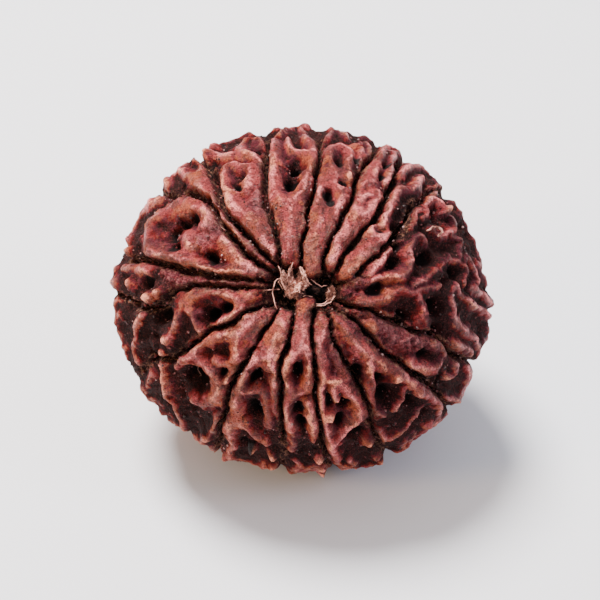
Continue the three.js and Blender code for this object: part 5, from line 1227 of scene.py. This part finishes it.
def shape_ends(body, foot, level, standing, grain):
    """Sinks the hollow and the tip, raises the foot and the outcrops, and tells how hollow each point is."""
    from_hollow = away_from(foot, body.seen(*HOLLOW_CENTRE))
    level -= STALK_DIP * (1 - smooth(0.0, STALK_DIP_RADIUS, from_hollow))
    edge_in, edge_out = HOLLOW_EDGE
    hollow = 1 - smooth(HOLLOW_RADIUS * edge_in, HOLLOW_RADIUS * edge_out, from_hollow)
    hollow *= 1 - standing
    level += (-HOLLOW_DEPTH - STALK_DIP + GROUND_WAVE * grain - level) * hollow
    from_tip = away_from(foot, body.polar(180, 0))
    level -= TIP_DIP * (1 - smooth(0.0, TIP_DIP_RADIUS, from_tip))
    level -= TIP_PIT_DEPTH * (1 - smooth(0.0, TIP_PIT_RADIUS, from_tip))
    from_rest = away_from(foot, body.under(*REST_BULGE_PLACE))
    level += REST_BULGE * (1 - smooth(0.0, REST_BULGE_RADIUS, from_rest))
    for u, v, reach, height in OUTCROPS:
        level += height * (1 - smooth(reach * 0.3, reach, away_from(foot, body.seen(u, v))))
    return hollow


def hollowness(level, quads, pit, hollow):
    """How rubbed each point is, by how far it stands over its surroundings, which also paints highlight on
    what stands out and shade on what lies below, and how much painted shade it gets in pits, hollows and
    creases.
    """
    around, beside, next_to = (blurred(level, quads, rounds) for rounds in BLUR_ROUNDS)
    # Paler where the skin stands over its surroundings, as rubbed wear and painted highlight, and darker
    # where it lies below them, as painted shade
    rub_highlight_and_crease_shade = np.clip(0.5 + (level - beside) * 1.6 + (level - next_to) * 3.0, 0, 1)
    # Painted shade in recesses: the further below the surroundings, in pits and in the stalk hollow, the
    # darker
    sunk = np.clip((around - level) * 0.55 + (beside - level) * 0.9, 0, None)
    return rub_highlight_and_crease_shade, smooth(0.28, 1.45, sunk + 1.0 * pit + 0.9 * hollow)


def shaded(body, foot, turn):
    """How much painted shade each point gets, on the faces turned from the light and towards the rim."""
    shade = band(turn, *SHADE_BAND, RIM_SHADE)
    for u, v, reach in SHADED:
        shade = np.maximum(shade, 1 - smooth(reach * 0.3, reach, away_from(foot, body.seen(u, v))))
    return shade


def fanned_streaks(ball, turn):
    """Streaks that fan out from the stalk end."""
    round_ = np.arctan2(ball[:, 1], ball[:, 0])
    fanned = np.stack([np.cos(round_) * 13, np.sin(round_) * 13, turn * 0.11], -1)
    return lumps(fanned, 1.0, 3, 17.0) * 0.5 + 0.5


def stone_skin(body):
    """Points, quads and the marks that the finish reads, of the whole stone."""
    relief = Relief(body)
    ball, quads = cube_ball(CUBE_CELLS)
    ball = ball + (0.0, 0.0, FRONT_DENSITY)
    ball /= np.linalg.norm(ball, axis=1, keepdims=True)
    foot = body.point(ball)
    asked = swayed(foot)
    rise, crown, dull, knob = relief.rise(asked, WIDTH_SWELL + WIDTH_SWAY * lumps(foot, 2.2, 2, 23.0))
    turn = np.degrees(np.arccos(np.clip(ball[:, 2], -1, 1)))
    rim = band(turn, *RIM_BAND)
    rise = np.maximum(rise, RIM_FILL * rim)
    pit = relief.pitted(asked)
    gap, cut = relief.seamed(asked)

    grain = lumps(foot, 0.62, 3, 5.0)
    level = unseamed_level(foot, rise, dull, knob, pit, grain)
    level += (-FURROW_DEPTH - level) * cut * (0.95 - 0.3 * rise) * (1 - RIM_SHALLOW * rim)
    hollow = shape_ends(body, foot, level, smooth(0.2, 0.45, crown), grain)
    points = foot + body.normal(ball) * level[:, None]
    points[:, 2] = np.maximum(points[:, 2], -REST_HEIGHT)

    rub_highlight_and_crease_shade, occlusion_shade = hollowness(level, quads, pit, hollow)
    marks = {
        "streak": fanned_streaks(ball, turn),
        "crown": np.clip(crown * smooth(0.05, 0.4, gap), 0, 1),
        # Rubbed wear with painted highlight on what stands out, and painted shade in the creases
        "rub_highlight_and_crease_shade": rub_highlight_and_crease_shade,
        # Painted shade in pits, hollows and creases
        "hollow": occlusion_shade,
        # Painted shade, growing with depth below the ridge tops
        "deep": smooth(0.45, 2.0, -level),
        # Painted shade on the faces turned from the light and towards the rim
        "shade": shaded(body, foot, turn),
        "seam": 1 - smooth(0.1, 0.9, gap),
        "face_tint": lumps(foot, 6.0, 2, 51.0) * 0.5 + 0.5,
        "dull": blurred(dull * rise, quads, 8),
        "knob": knob,
        "grainy": np.clip((1 - rise) * (0.35 + pit) * (1 - 0.7 * occlusion_shade) + SEAM_GRAIN * cut, 0, 1),
    }
    return points, quads, marks


def geometry_tree(name, inputs):
    """A node group for a modifier, with a mesh in, a mesh out and named inputs."""
    tree = bpy.data.node_groups.new(name, "GeometryNodeTree")
    tree.interface.new_socket("Geometry", in_out="INPUT", socket_type="NodeSocketGeometry")
    sockets = {}
    for label, kind in inputs.items():
        socket = tree.interface.new_socket(label, in_out="INPUT", socket_type="NodeSocket" + kind)
        sockets[label] = socket.identifier
    tree.interface.new_socket("Geometry", in_out="OUTPUT", socket_type="NodeSocketGeometry")
    return tree, Nodes(tree), tree.nodes.new("NodeGroupInput"), tree.nodes.new("NodeGroupOutput"), sockets


def grown(name, base, tree, sockets, values):
    """The plain mesh that a tree makes on a base object."""
    modifier = base.modifiers.new(name, "NODES")
    modifier.node_group = tree
    for label, value in values.items():
        modifier[sockets[label]] = value
    shown = base.evaluated_get(bpy.context.evaluated_depsgraph_get())
    mesh = bpy.data.meshes.new_from_object(shown)
    base.modifiers.remove(modifier)
    mesh.name = name
    thing = bpy.data.objects.new(name, mesh)
    bpy.context.collection.objects.link(thing)
    return thing


def strewn(n, entry, mark_name):
    """Random spots on the base mesh, as many as its mark says, and a random size for each."""
    mark = n.add("GeometryNodeInputNamedAttribute", {"Name": mark_name}, data_type="FLOAT").outputs[0]
    spots = n.add("GeometryNodeDistributePointsOnFaces", {
        "Mesh": entry.outputs["Geometry"], "Seed": entry.outputs["Seed"],
        "Density": n.math("MULTIPLY", mark, entry.outputs["Density"]),
    })
    size = n.add("FunctionNodeRandomValue", data_type="FLOAT")
    n.set(size.inputs[2], entry.outputs["Smallest"])
    n.set(size.inputs[3], entry.outputs["Largest"])
    return spots, size.outputs[1]


def random_turn(n, least, most):
    """A random turn about each axis, between two sets of angles."""
    turn = n.add("FunctionNodeRandomValue", data_type="FLOAT_VECTOR")
    turn.inputs[0].default_value = least
    turn.inputs[1].default_value = most
    return turn.outputs[0]


def end_tree(n, entry, out, geometry):
    """Gives what a tree has made its finish, and hands it out."""
    done = n.add("GeometryNodeSetMaterial", {"Geometry": geometry, "Material": entry.outputs["Finish"]})
    n.set(out.inputs["Geometry"], done.outputs[0])


def grain_tree():
    """Small round grains, scattered where the base mesh is marked grainy."""
    tree, n, entry, out, sockets = geometry_tree("Pit grains", {
        "Density": "Float", "Smallest": "Float", "Largest": "Float", "Seed": "Int", "Finish": "Material",
    })
    spots, size = strewn(n, entry, "grainy")
    turn = random_turn(n, (0.0, 0.0, 0.0), (FULL_TURN, FULL_TURN, FULL_TURN))
    grain = n.add("GeometryNodeMeshIcoSphere", {"Radius": 1.0, "Subdivisions": 1})
    placed = n.add("GeometryNodeInstanceOnPoints", {
        "Points": spots.outputs["Points"], "Instance": grain.outputs["Mesh"], "Rotation": turn, "Scale": size,
    })
    real = n.add("GeometryNodeRealizeInstances", {"Geometry": placed.outputs["Instances"]})
    end_tree(n, entry, out, real.outputs[0])
    return tree, sockets


def fibre_tree():
    """Curved fibres, picked from a collection and laid over the base mesh where it is marked matted."""
    tree, n, entry, out, sockets = geometry_tree("Matted fibres", {
        "Fibres": "Collection", "Density": "Float", "Smallest": "Float", "Largest": "Float", "Seed": "Int",
        "Finish": "Material",
    })
    spots, size = strewn(n, entry, "matted")
    shapes = n.add("GeometryNodeCollectionInfo", {
        "Collection": entry.outputs["Fibres"], "Separate Children": True, "Reset Children": True,
    })
    which = n.add("FunctionNodeRandomValue", data_type="INT")
    which.inputs[4].default_value = 0
    which.inputs[5].default_value = FIBRE_SHAPES - 1
    turned = n.add("FunctionNodeRotateRotation", rotation_space="LOCAL")
    n.set(turned.inputs[0], spots.outputs["Rotation"])
    spin = random_turn(n, (-FIBRE_TILT, -FIBRE_TILT, 0.0), (FIBRE_TILT, FIBRE_TILT, FULL_TURN))
    n.set(turned.inputs[1], spin)
    placed = n.add("GeometryNodeInstanceOnPoints", {
        "Points": spots.outputs["Points"], "Instance": shapes.outputs[0], "Pick Instance": True,
        "Instance Index": which.outputs[2], "Rotation": turned.outputs[0], "Scale": size,
    })
    real = n.add("GeometryNodeRealizeInstances", {"Geometry": placed.outputs["Instances"]})
    both = n.add("GeometryNodeJoinGeometry")
    n.set(both.inputs[0], entry.outputs["Geometry"])
    n.set(both.inputs[0], real.outputs[0])
    end_tree(n, entry, out, both.outputs[0])
    return tree, sockets


def tube(points, radii, sides):
    """Points and faces of a closed tube along a line."""
    points = np.asarray(points, float)
    along = np.gradient(points, axis=0)
    along /= np.linalg.norm(along, axis=1, keepdims=True)
    ring_points, faces = [], []
    side = np.cross(along[0], [0.31, 0.52, 0.8])
    for i, (middle, ahead, radius) in enumerate(zip(points, along, radii)):
        side = side - ahead * (side @ ahead)
        side /= np.linalg.norm(side)
        other = np.cross(ahead, side)
        for k in range(sides):
            s, c = unit(360 * k / sides)
            ring_points.append(middle + (side * c + other * s) * radius)
        if i:
            low, high = (i - 1) * sides, i * sides
            for k in range(sides):
                after = (k + 1) % sides
                faces.append([low + k, low + after, high + after, high + k])
    faces.append(list(range(sides))[::-1])
    faces.append([len(ring_points) - sides + k for k in range(sides)])
    return ring_points, faces


def merged(parts):
    """Points and faces of several parts as those of one mesh."""
    points, faces = [], []
    for part_points, part_faces in parts:
        shift = len(points)
        points += list(part_points)
        faces += [[v + shift for v in face] for face in part_faces]
    return points, faces


def fibre_shapes():
    """A few curled fibres of about unit length, in a collection of their own."""
    shelf = bpy.data.collections.new("fibre shapes")
    draw = drawer(SHAPE_SEED)
    for k in range(FIBRE_SHAPES):
        t = np.linspace(-0.5, 0.5, FIBRE_STEPS)
        curl = draw() * 1.4 - 0.7
        lift = 0.12 + 0.25 * draw()
        twist = draw() * 0.3 - 0.15
        arch = lift * (0.25 - t * t) * 1.6 + 0.03 * np.sin(t * 17 + k)
        line = np.stack([t, curl * t * t + twist * np.sin(t * 9), arch], -1)
        radii = FIBRE_RADIUS * np.sqrt(np.clip(1.04 - (2 * t) ** 2, 0.04, 1)) * (0.7 + 0.6 * draw())
        points, faces = tube(line, radii, THIN_SIDES)
        mesh = bpy.data.meshes.new("fibre shape")
        mesh.from_pydata([tuple(p * MM) for p in points], [], faces)
        fibre = bpy.data.objects.new(f"fibre_shape_{k}", mesh)
        shade_smooth(fibre)
        shelf.objects.link(fibre)
    return shelf


def in_hollow(body, u, v, height):
    """A place seen at (u, v), at a height over the hollow's floor."""
    place = body.seen(u, v)
    return place + body.normal(body.ball(place)) * (height - HOLLOW_DEPTH - STALK_DIP)


def crumpled_ball(shift):
    """Points and faces of a ball of unit width, crumpled like a wad of fibres."""
    shape = bmesh.new()
    bmesh.ops.create_icosphere(shape, subdivisions=TUFT_SUBDIVISIONS, radius=0.5)
    points = np.array([vert.co[:] for vert in shape.verts])
    faces = [[vert.index for vert in face.verts] for face in shape.faces]
    shape.free()
    folded = points * 2.5 + shift
    crumple = 0.4 * lumps(folded, 0.8, 2, 2.0) + 0.34 * lumps(folded, 0.3, 3, 7.0)
    return points * (1 + crumple)[:, None], faces


def tuft_base(body):
    """The lumps that the matted fibres lie on."""
    parts = []
    for u, v, across, along, turn, height in TUFTS:
        points, faces = crumpled_ball(u)
        points = points * (across, along, height)
        s, c = unit(turn)
        up = body.normal(body.ball(body.seen(u, v)))
        right = ACROSS - up * (ACROSS @ up)
        right /= np.linalg.norm(right)
        ahead = np.cross(up, right)
        x = points[:, 0] * c - points[:, 1] * s
        y = points[:, 0] * s + points[:, 1] * c
        middle = in_hollow(body, u, v, height * TUFT_SINK)
        parts.append((middle + x[:, None] * right + y[:, None] * ahead + points[:, 2:] * up, faces))
    return parts


def waves(turns):
    """Three waves out of step with each other, one for each way, at the given turns."""
    return np.stack([np.sin(turns + step) for step in (0.0, 1.7, 3.1)], -1)


def strands(body, lines, radius):
    """Free fibres along lines drawn over the hollow, thinning to their ends."""
    parts = []
    for k, line in enumerate(lines):
        path = Path([in_hollow(body, *p) for p in line], [0.0] * len(line))
        t = np.linspace(0, 1, len(path.at))
        wobble = waves(t * 19 + k * 2.1) * STRAND_WOBBLE
        radii = radius * (0.45 + 0.55 * np.sin(np.pi * np.clip(t, 0.04, 0.96)) ** 0.5)
        parts.append(tube(path.at + wobble, radii, LOOSE_SIDES))
    return parts


def bundles(body, radius):
    """Wisps of many thin fibres that follow a drawn line together and part a little."""
    draw = drawer(WISP_SEED)
    parts = []
    for line in WISPS:
        lead = Path([in_hollow(body, u, v, up) for u, v, up, _ in line], [w for _, _, _, w in line])
        t = np.linspace(0, 1, len(lead.at))
        for _ in range(WISP_FIBRES):
            first, last = sorted((draw() * 0.3, 1 - draw() * 0.3))
            kept = (t >= first) & (t <= last)
            away = np.array([draw() - 0.5 for _ in range(3)])
            wave = waves(t * 13 + draw() * FULL_TURN) * WISP_WAVE
            at = (lead.at + lead.width[:, None] * (away + wave))[kept]
            if len(at) > 3:
                thin = radius * (0.5 + 0.7 * draw())
                radii = thin * np.sqrt(np.sin(np.pi * np.linspace(0.06, 0.94, len(at))))
                parts.append(tube(at, radii, THIN_SIDES))
    return parts


def place_piece(thing, finish):
    """Gives a piece of the object its finish, and says which body it rides on."""
    thing.data.materials.clear()
    thing.data.materials.append(finish)
    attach(thing, "root")


class RudrakshaSizes(bpy.types.PropertyGroup):
    width: bpy.props.FloatProperty(
        name="Width", description="Across the faces, the wide way", default=0.0298, unit="LENGTH")
    breadth: bpy.props.FloatProperty(
        name="Breadth", description="Across the faces, the narrow way", default=0.0277, unit="LENGTH")
    length: bpy.props.FloatProperty(
        name="Length", description="From the stalk end to the tip", default=0.0246, unit="LENGTH")
    strand: bpy.props.FloatProperty(
        name="Strand radius", description="Radius of a free stalk fibre", default=0.00006, unit="LENGTH")
    grain: bpy.props.FloatProperty(
        name="Grain radius", description="Radius of the largest grain", default=0.00013, unit="LENGTH")


def colour_property(name, description, red, green, blue):
    """A colour for the user to change, with its default as a screen shows it."""
    return bpy.props.FloatVectorProperty(
        name=name, description=description, subtype="COLOR", min=0, max=1, default=linear(red, green, blue))


class RudrakshaLook(bpy.types.PropertyGroup):
    crest_pink: colour_property("Crest pink", "Rubbed ridge tops", 152, 54, 54)
    # Paler rubbed tops with a painted highlight
    crest_pale_highlight: colour_property("Crest pale", "The most rubbed spots", 253, 136, 132)
    # Painted highlight where the warm lamp falls, on the most rubbed tops
    crest_gold_highlight: colour_property("Crest gold", "The most rubbed warm spots", 252, 158, 114)
    crest_brown: colour_property("Crest brown", "Browner ridge tops", 122, 46, 34)
    # Orange patches, partly painted warm light
    crest_orange: colour_property("Crest orange", "Warm patches of the ridge tops", 166, 78, 44)
    flank: colour_property("Flank", "Sides of the ridges", 104, 20, 20)
    flank_purple: colour_property("Purple flank", "Purple streaks of the sides", 84, 24, 34)
    ground: colour_property("Ground", "Dull ground between the ridges", 68, 20, 18)
    ground_dark: colour_property("Dark ground", "Darker grains of the ground", 36, 8, 5)
    # Paler grains, partly painted glints
    ground_grain: colour_property("Ground grain", "Paler grains of the ground", 112, 56, 56)
    # Painted shade: the ground's colour on the shaded faces
    ground_shade: colour_property("Shaded ground", "Blackened ground of the darker faces", 34, 9, 7)
    dull_pink: colour_property("Dull pink", "Grains of the dull skin", 146, 78, 80)
    # Near-black floor of the pits, also used for the painted shade in hollows and creases and at the tuft's
    # roots
    pit: colour_property("Pit", "Floors of the pits", 22, 5, 4)
    thread: colour_property("Thread", "Threads in the seams", 126, 84, 66)
    # Pale grains, partly painted glints
    grain_pale: colour_property("Pale grain", "Bright grains in the seams and pits", 170, 128, 122)
    fibre_in_light: colour_property("Pale fibre", "Stalk fibres in the light", 248, 178, 158)
    fibre_in_shade: colour_property("Brown fibre", "Stalk fibres in the shade", 96, 48, 36)
    floor: colour_property("Floor", "The plain floor", 222, 222, 226)


class RUDRAKSHA_OT_stone(bpy.types.Operator):
    """Builds the stone, with its faces, seams, ridges, knobs and pits"""
    bl_idname = "rudraksha.stone"
    bl_label = "Stone"

    def execute(self, context):
        body = body_from(context.scene.rudraksha_sizes)
        points, quads, values = stone_skin(body)
        stone = new_mesh_object("seed_stone", points, quads)
        for name, numbers in values.items():
            store(stone, name, numbers)
        shade_smooth(stone)
        place_piece(stone, finished("ridged_shell"))
        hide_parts("seed")
        return {"FINISHED"}


class RUDRAKSHA_OT_pit_grains(bpy.types.Operator):
    """Scatters coarse grains over the dull ground and the pits"""
    bl_idname = "rudraksha.pit_grains"
    bl_label = "Pit grains"

    def execute(self, context):
        largest = context.scene.rudraksha_sizes.grain
        tree, sockets = grain_tree()
        finish = finished("pit_grain")
        grains = grown("pit_grains", bpy.data.objects["seed_stone"], tree, sockets, {
            "Density": GRAIN_DENSITY, "Smallest": largest * SMALLEST_GRAIN, "Largest": largest,
            "Seed": GRAIN_SEED, "Finish": finish,
        })
        place_piece(grains, finish)
        return {"FINISHED"}


class RUDRAKSHA_OT_stalk_fibres(bpy.types.Operator):
    """Builds the matted tuft in the stalk hollow and its free strands"""
    bl_idname = "rudraksha.stalk_fibres"
    bl_label = "Stalk fibres"

    def execute(self, context):
        sizes = context.scene.rudraksha_sizes
        body = body_from(sizes)
        radius = sizes.strand / MM
        mats = tuft_base(body)
        threads = strands(body, THREADS, radius * THREAD_SHARE)
        base = new_mesh_object("tuft base", *merged(mats + bundles(body, radius) + threads))
        matted = np.zeros(len(base.data.vertices))
        matted[:sum(len(points) for points, _ in mats)] = 1.0
        store(base, "matted", matted)
        shade_smooth(base)
        shelf = fibre_shapes()
        tree, sockets = fibre_tree()
        shortest, longest = FIBRE_LENGTHS
        finish = finished("matted_fibre")
        tuft = grown("stalk_tuft", base, tree, sockets, {
            "Fibres": shelf, "Density": FIBRE_DENSITY, "Smallest": shortest, "Largest": longest,
            "Seed": STREW_SEED, "Finish": finish,
        })
        for thing in [base, *shelf.objects]:
            bpy.data.objects.remove(thing)
        bpy.data.collections.remove(shelf)
        shade_smooth(tuft)
        places = np.array([vert.co[:] for vert in tuft.data.vertices]) / MM - PLACE
        below = (1 - np.linalg.norm(body.ball(places), axis=1)) * SHORT_HALF
        # Painted shade at the tuft's roots
        store(tuft, "depth", smooth(*DARK_DEPTHS, below))
        place_piece(tuft, finish)
        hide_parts("stalk_fibres")
        return {"FINISHED"}


class RUDRAKSHA_OT_loose_fibres(bpy.types.Operator):
    """Lays the few hair-thin fibres that have settled in the seams and between the ridges"""
    bl_idname = "rudraksha.loose_fibres"
    bl_label = "Loose fibres"

    def execute(self, context):
        sizes = context.scene.rudraksha_sizes
        body = body_from(sizes)
        radius = sizes.strand / MM
        curl = strands(body, CURL, radius * CURL_SHARE)
        fibres = strands(body, LOOSE_FIBRES, radius * LOOSE_SHARE)
        loose = new_mesh_object("loose_fibres", *merged(curl + fibres))
        shade_smooth(loose)
        bright = len(curl[0][0])
        store(loose, "depth", [0.0] * bright + [LOOSE_DARKNESS] * (len(loose.data.vertices) - bright))
        place_piece(loose, finished("matted_fibre"))
        return {"FINISHED"}


class RUDRAKSHA_OT_stage(bpy.types.Operator):
    """Sets the pale floor, the soft lights and the camera"""
    bl_idname = "rudraksha.stage"
    bl_label = "Stage"

    def execute(self, context):
        look = context.scene.rudraksha_look
        finish, n, shader, place = new_finish("floor")
        tone = n.cloud(place, 14, 3, 0.5)
        dusty = n.between(tone, 0.3, 0.7, 0.0, 0.08)
        n.set(shader.inputs["Base Color"], n.blend(dusty, opaque(look.floor), (0.5, 0.5, 0.52, 1)))
        shader.inputs["Roughness"].default_value = 0.75
        mesh = bpy.data.meshes.new("floor")
        corners = [(x * FLOOR_REACH, y * FLOOR_REACH, 0) for x, y in ((-1, -1), (1, -1), (1, 1), (-1, 1))]
        mesh.from_pydata(corners, [], [[0, 1, 2, 3]])
        mesh.materials.append(finish)
        floor = bpy.data.objects.new("floor", mesh)
        context.collection.objects.link(floor)

        world = bpy.data.worlds.new("studio")
        world.use_nodes = True
        sky = world.node_tree.nodes["Background"]
        w = Nodes(world.node_tree)
        direction = w.add("ShaderNodeTexCoord").outputs["Generated"]
        height = w.add("ShaderNodeSeparateXYZ", {"Vector": direction}).outputs["Z"]
        w.set(sky.inputs["Strength"], w.between(height, -0.1, 0.9, SKY_AT_FLOOR, SKY_OVERHEAD))
        sky.inputs["Color"].default_value = (0.94, 0.97, 1.0, 1.0)
        context.scene.world = world
        middle = Vector((0, 0, REST_HEIGHT * MM))
        for name, place, size, power, colour in LIGHTS:
            lamp = bpy.data.lights.new(name, "AREA")
            lamp.shape = "DISK"
            lamp.size = size
            lamp.energy = power
            lamp.color = colour
            thing = bpy.data.objects.new(name, lamp)
            thing.location = place
            thing.rotation_euler = (middle - thing.location).to_track_quat("-Z", "Y").to_euler()
            context.collection.objects.link(thing)

        eye = bpy.data.cameras.new("camera")
        eye.lens = LENS
        eye.sensor_width = 36
        eye.clip_start = 0.005
        camera = bpy.data.objects.new("camera", eye)
        back = Vector(SIGHT_BACK.tolist())
        aside = Vector((ACROSS * AIM_ASIDE[0] + SIGHT_UP * AIM_ASIDE[1]).tolist()) * MM
        camera.location = middle + aside + back * SIGHT_DISTANCE * MM
        camera.rotation_euler = (-back).to_track_quat("-Z", "Y").to_euler()
        context.collection.objects.link(camera)
        context.scene.camera = camera
        return {"FINISHED"}


OPERATORS = (
    RUDRAKSHA_OT_stage,
    RUDRAKSHA_OT_stone,
    RUDRAKSHA_OT_pit_grains,
    RUDRAKSHA_OT_stalk_fibres,
    RUDRAKSHA_OT_loose_fibres,
)


class RUDRAKSHA_PT_panel(bpy.types.Panel):
    """Lists the sizes, the colours and the pieces"""
    bl_label = "Rudraksha seed"
    bl_idname = "RUDRAKSHA_PT_panel"
    bl_space_type = "VIEW_3D"
    bl_region_type = "UI"
    bl_category = "Rudraksha"

    def draw(self, context):
        for group in (context.scene.rudraksha_sizes, context.scene.rudraksha_look):
            for name in type(group).__annotations__:
                self.layout.prop(group, name)
        for operator in OPERATORS:
            self.layout.operator(operator.bl_idname)


CLASSES = (RudrakshaSizes, RudrakshaLook, *OPERATORS, RUDRAKSHA_PT_panel)


def register():
    for one in CLASSES:
        bpy.utils.register_class(one)
    bpy.types.Scene.rudraksha_sizes = bpy.props.PointerProperty(type=RudrakshaSizes)
    bpy.types.Scene.rudraksha_look = bpy.props.PointerProperty(type=RudrakshaLook)


def unregister():
    del bpy.types.Scene.rudraksha_look
    del bpy.types.Scene.rudraksha_sizes
    for one in reversed(CLASSES):
        bpy.utils.unregister_class(one)


def main():
    register()
    for operator in OPERATORS:
        group, name = operator.bl_idname.split(".")
        getattr(getattr(bpy.ops, group), name)()
    bpy.context.view_layer.update()


if __name__ == "__main__":
    main()
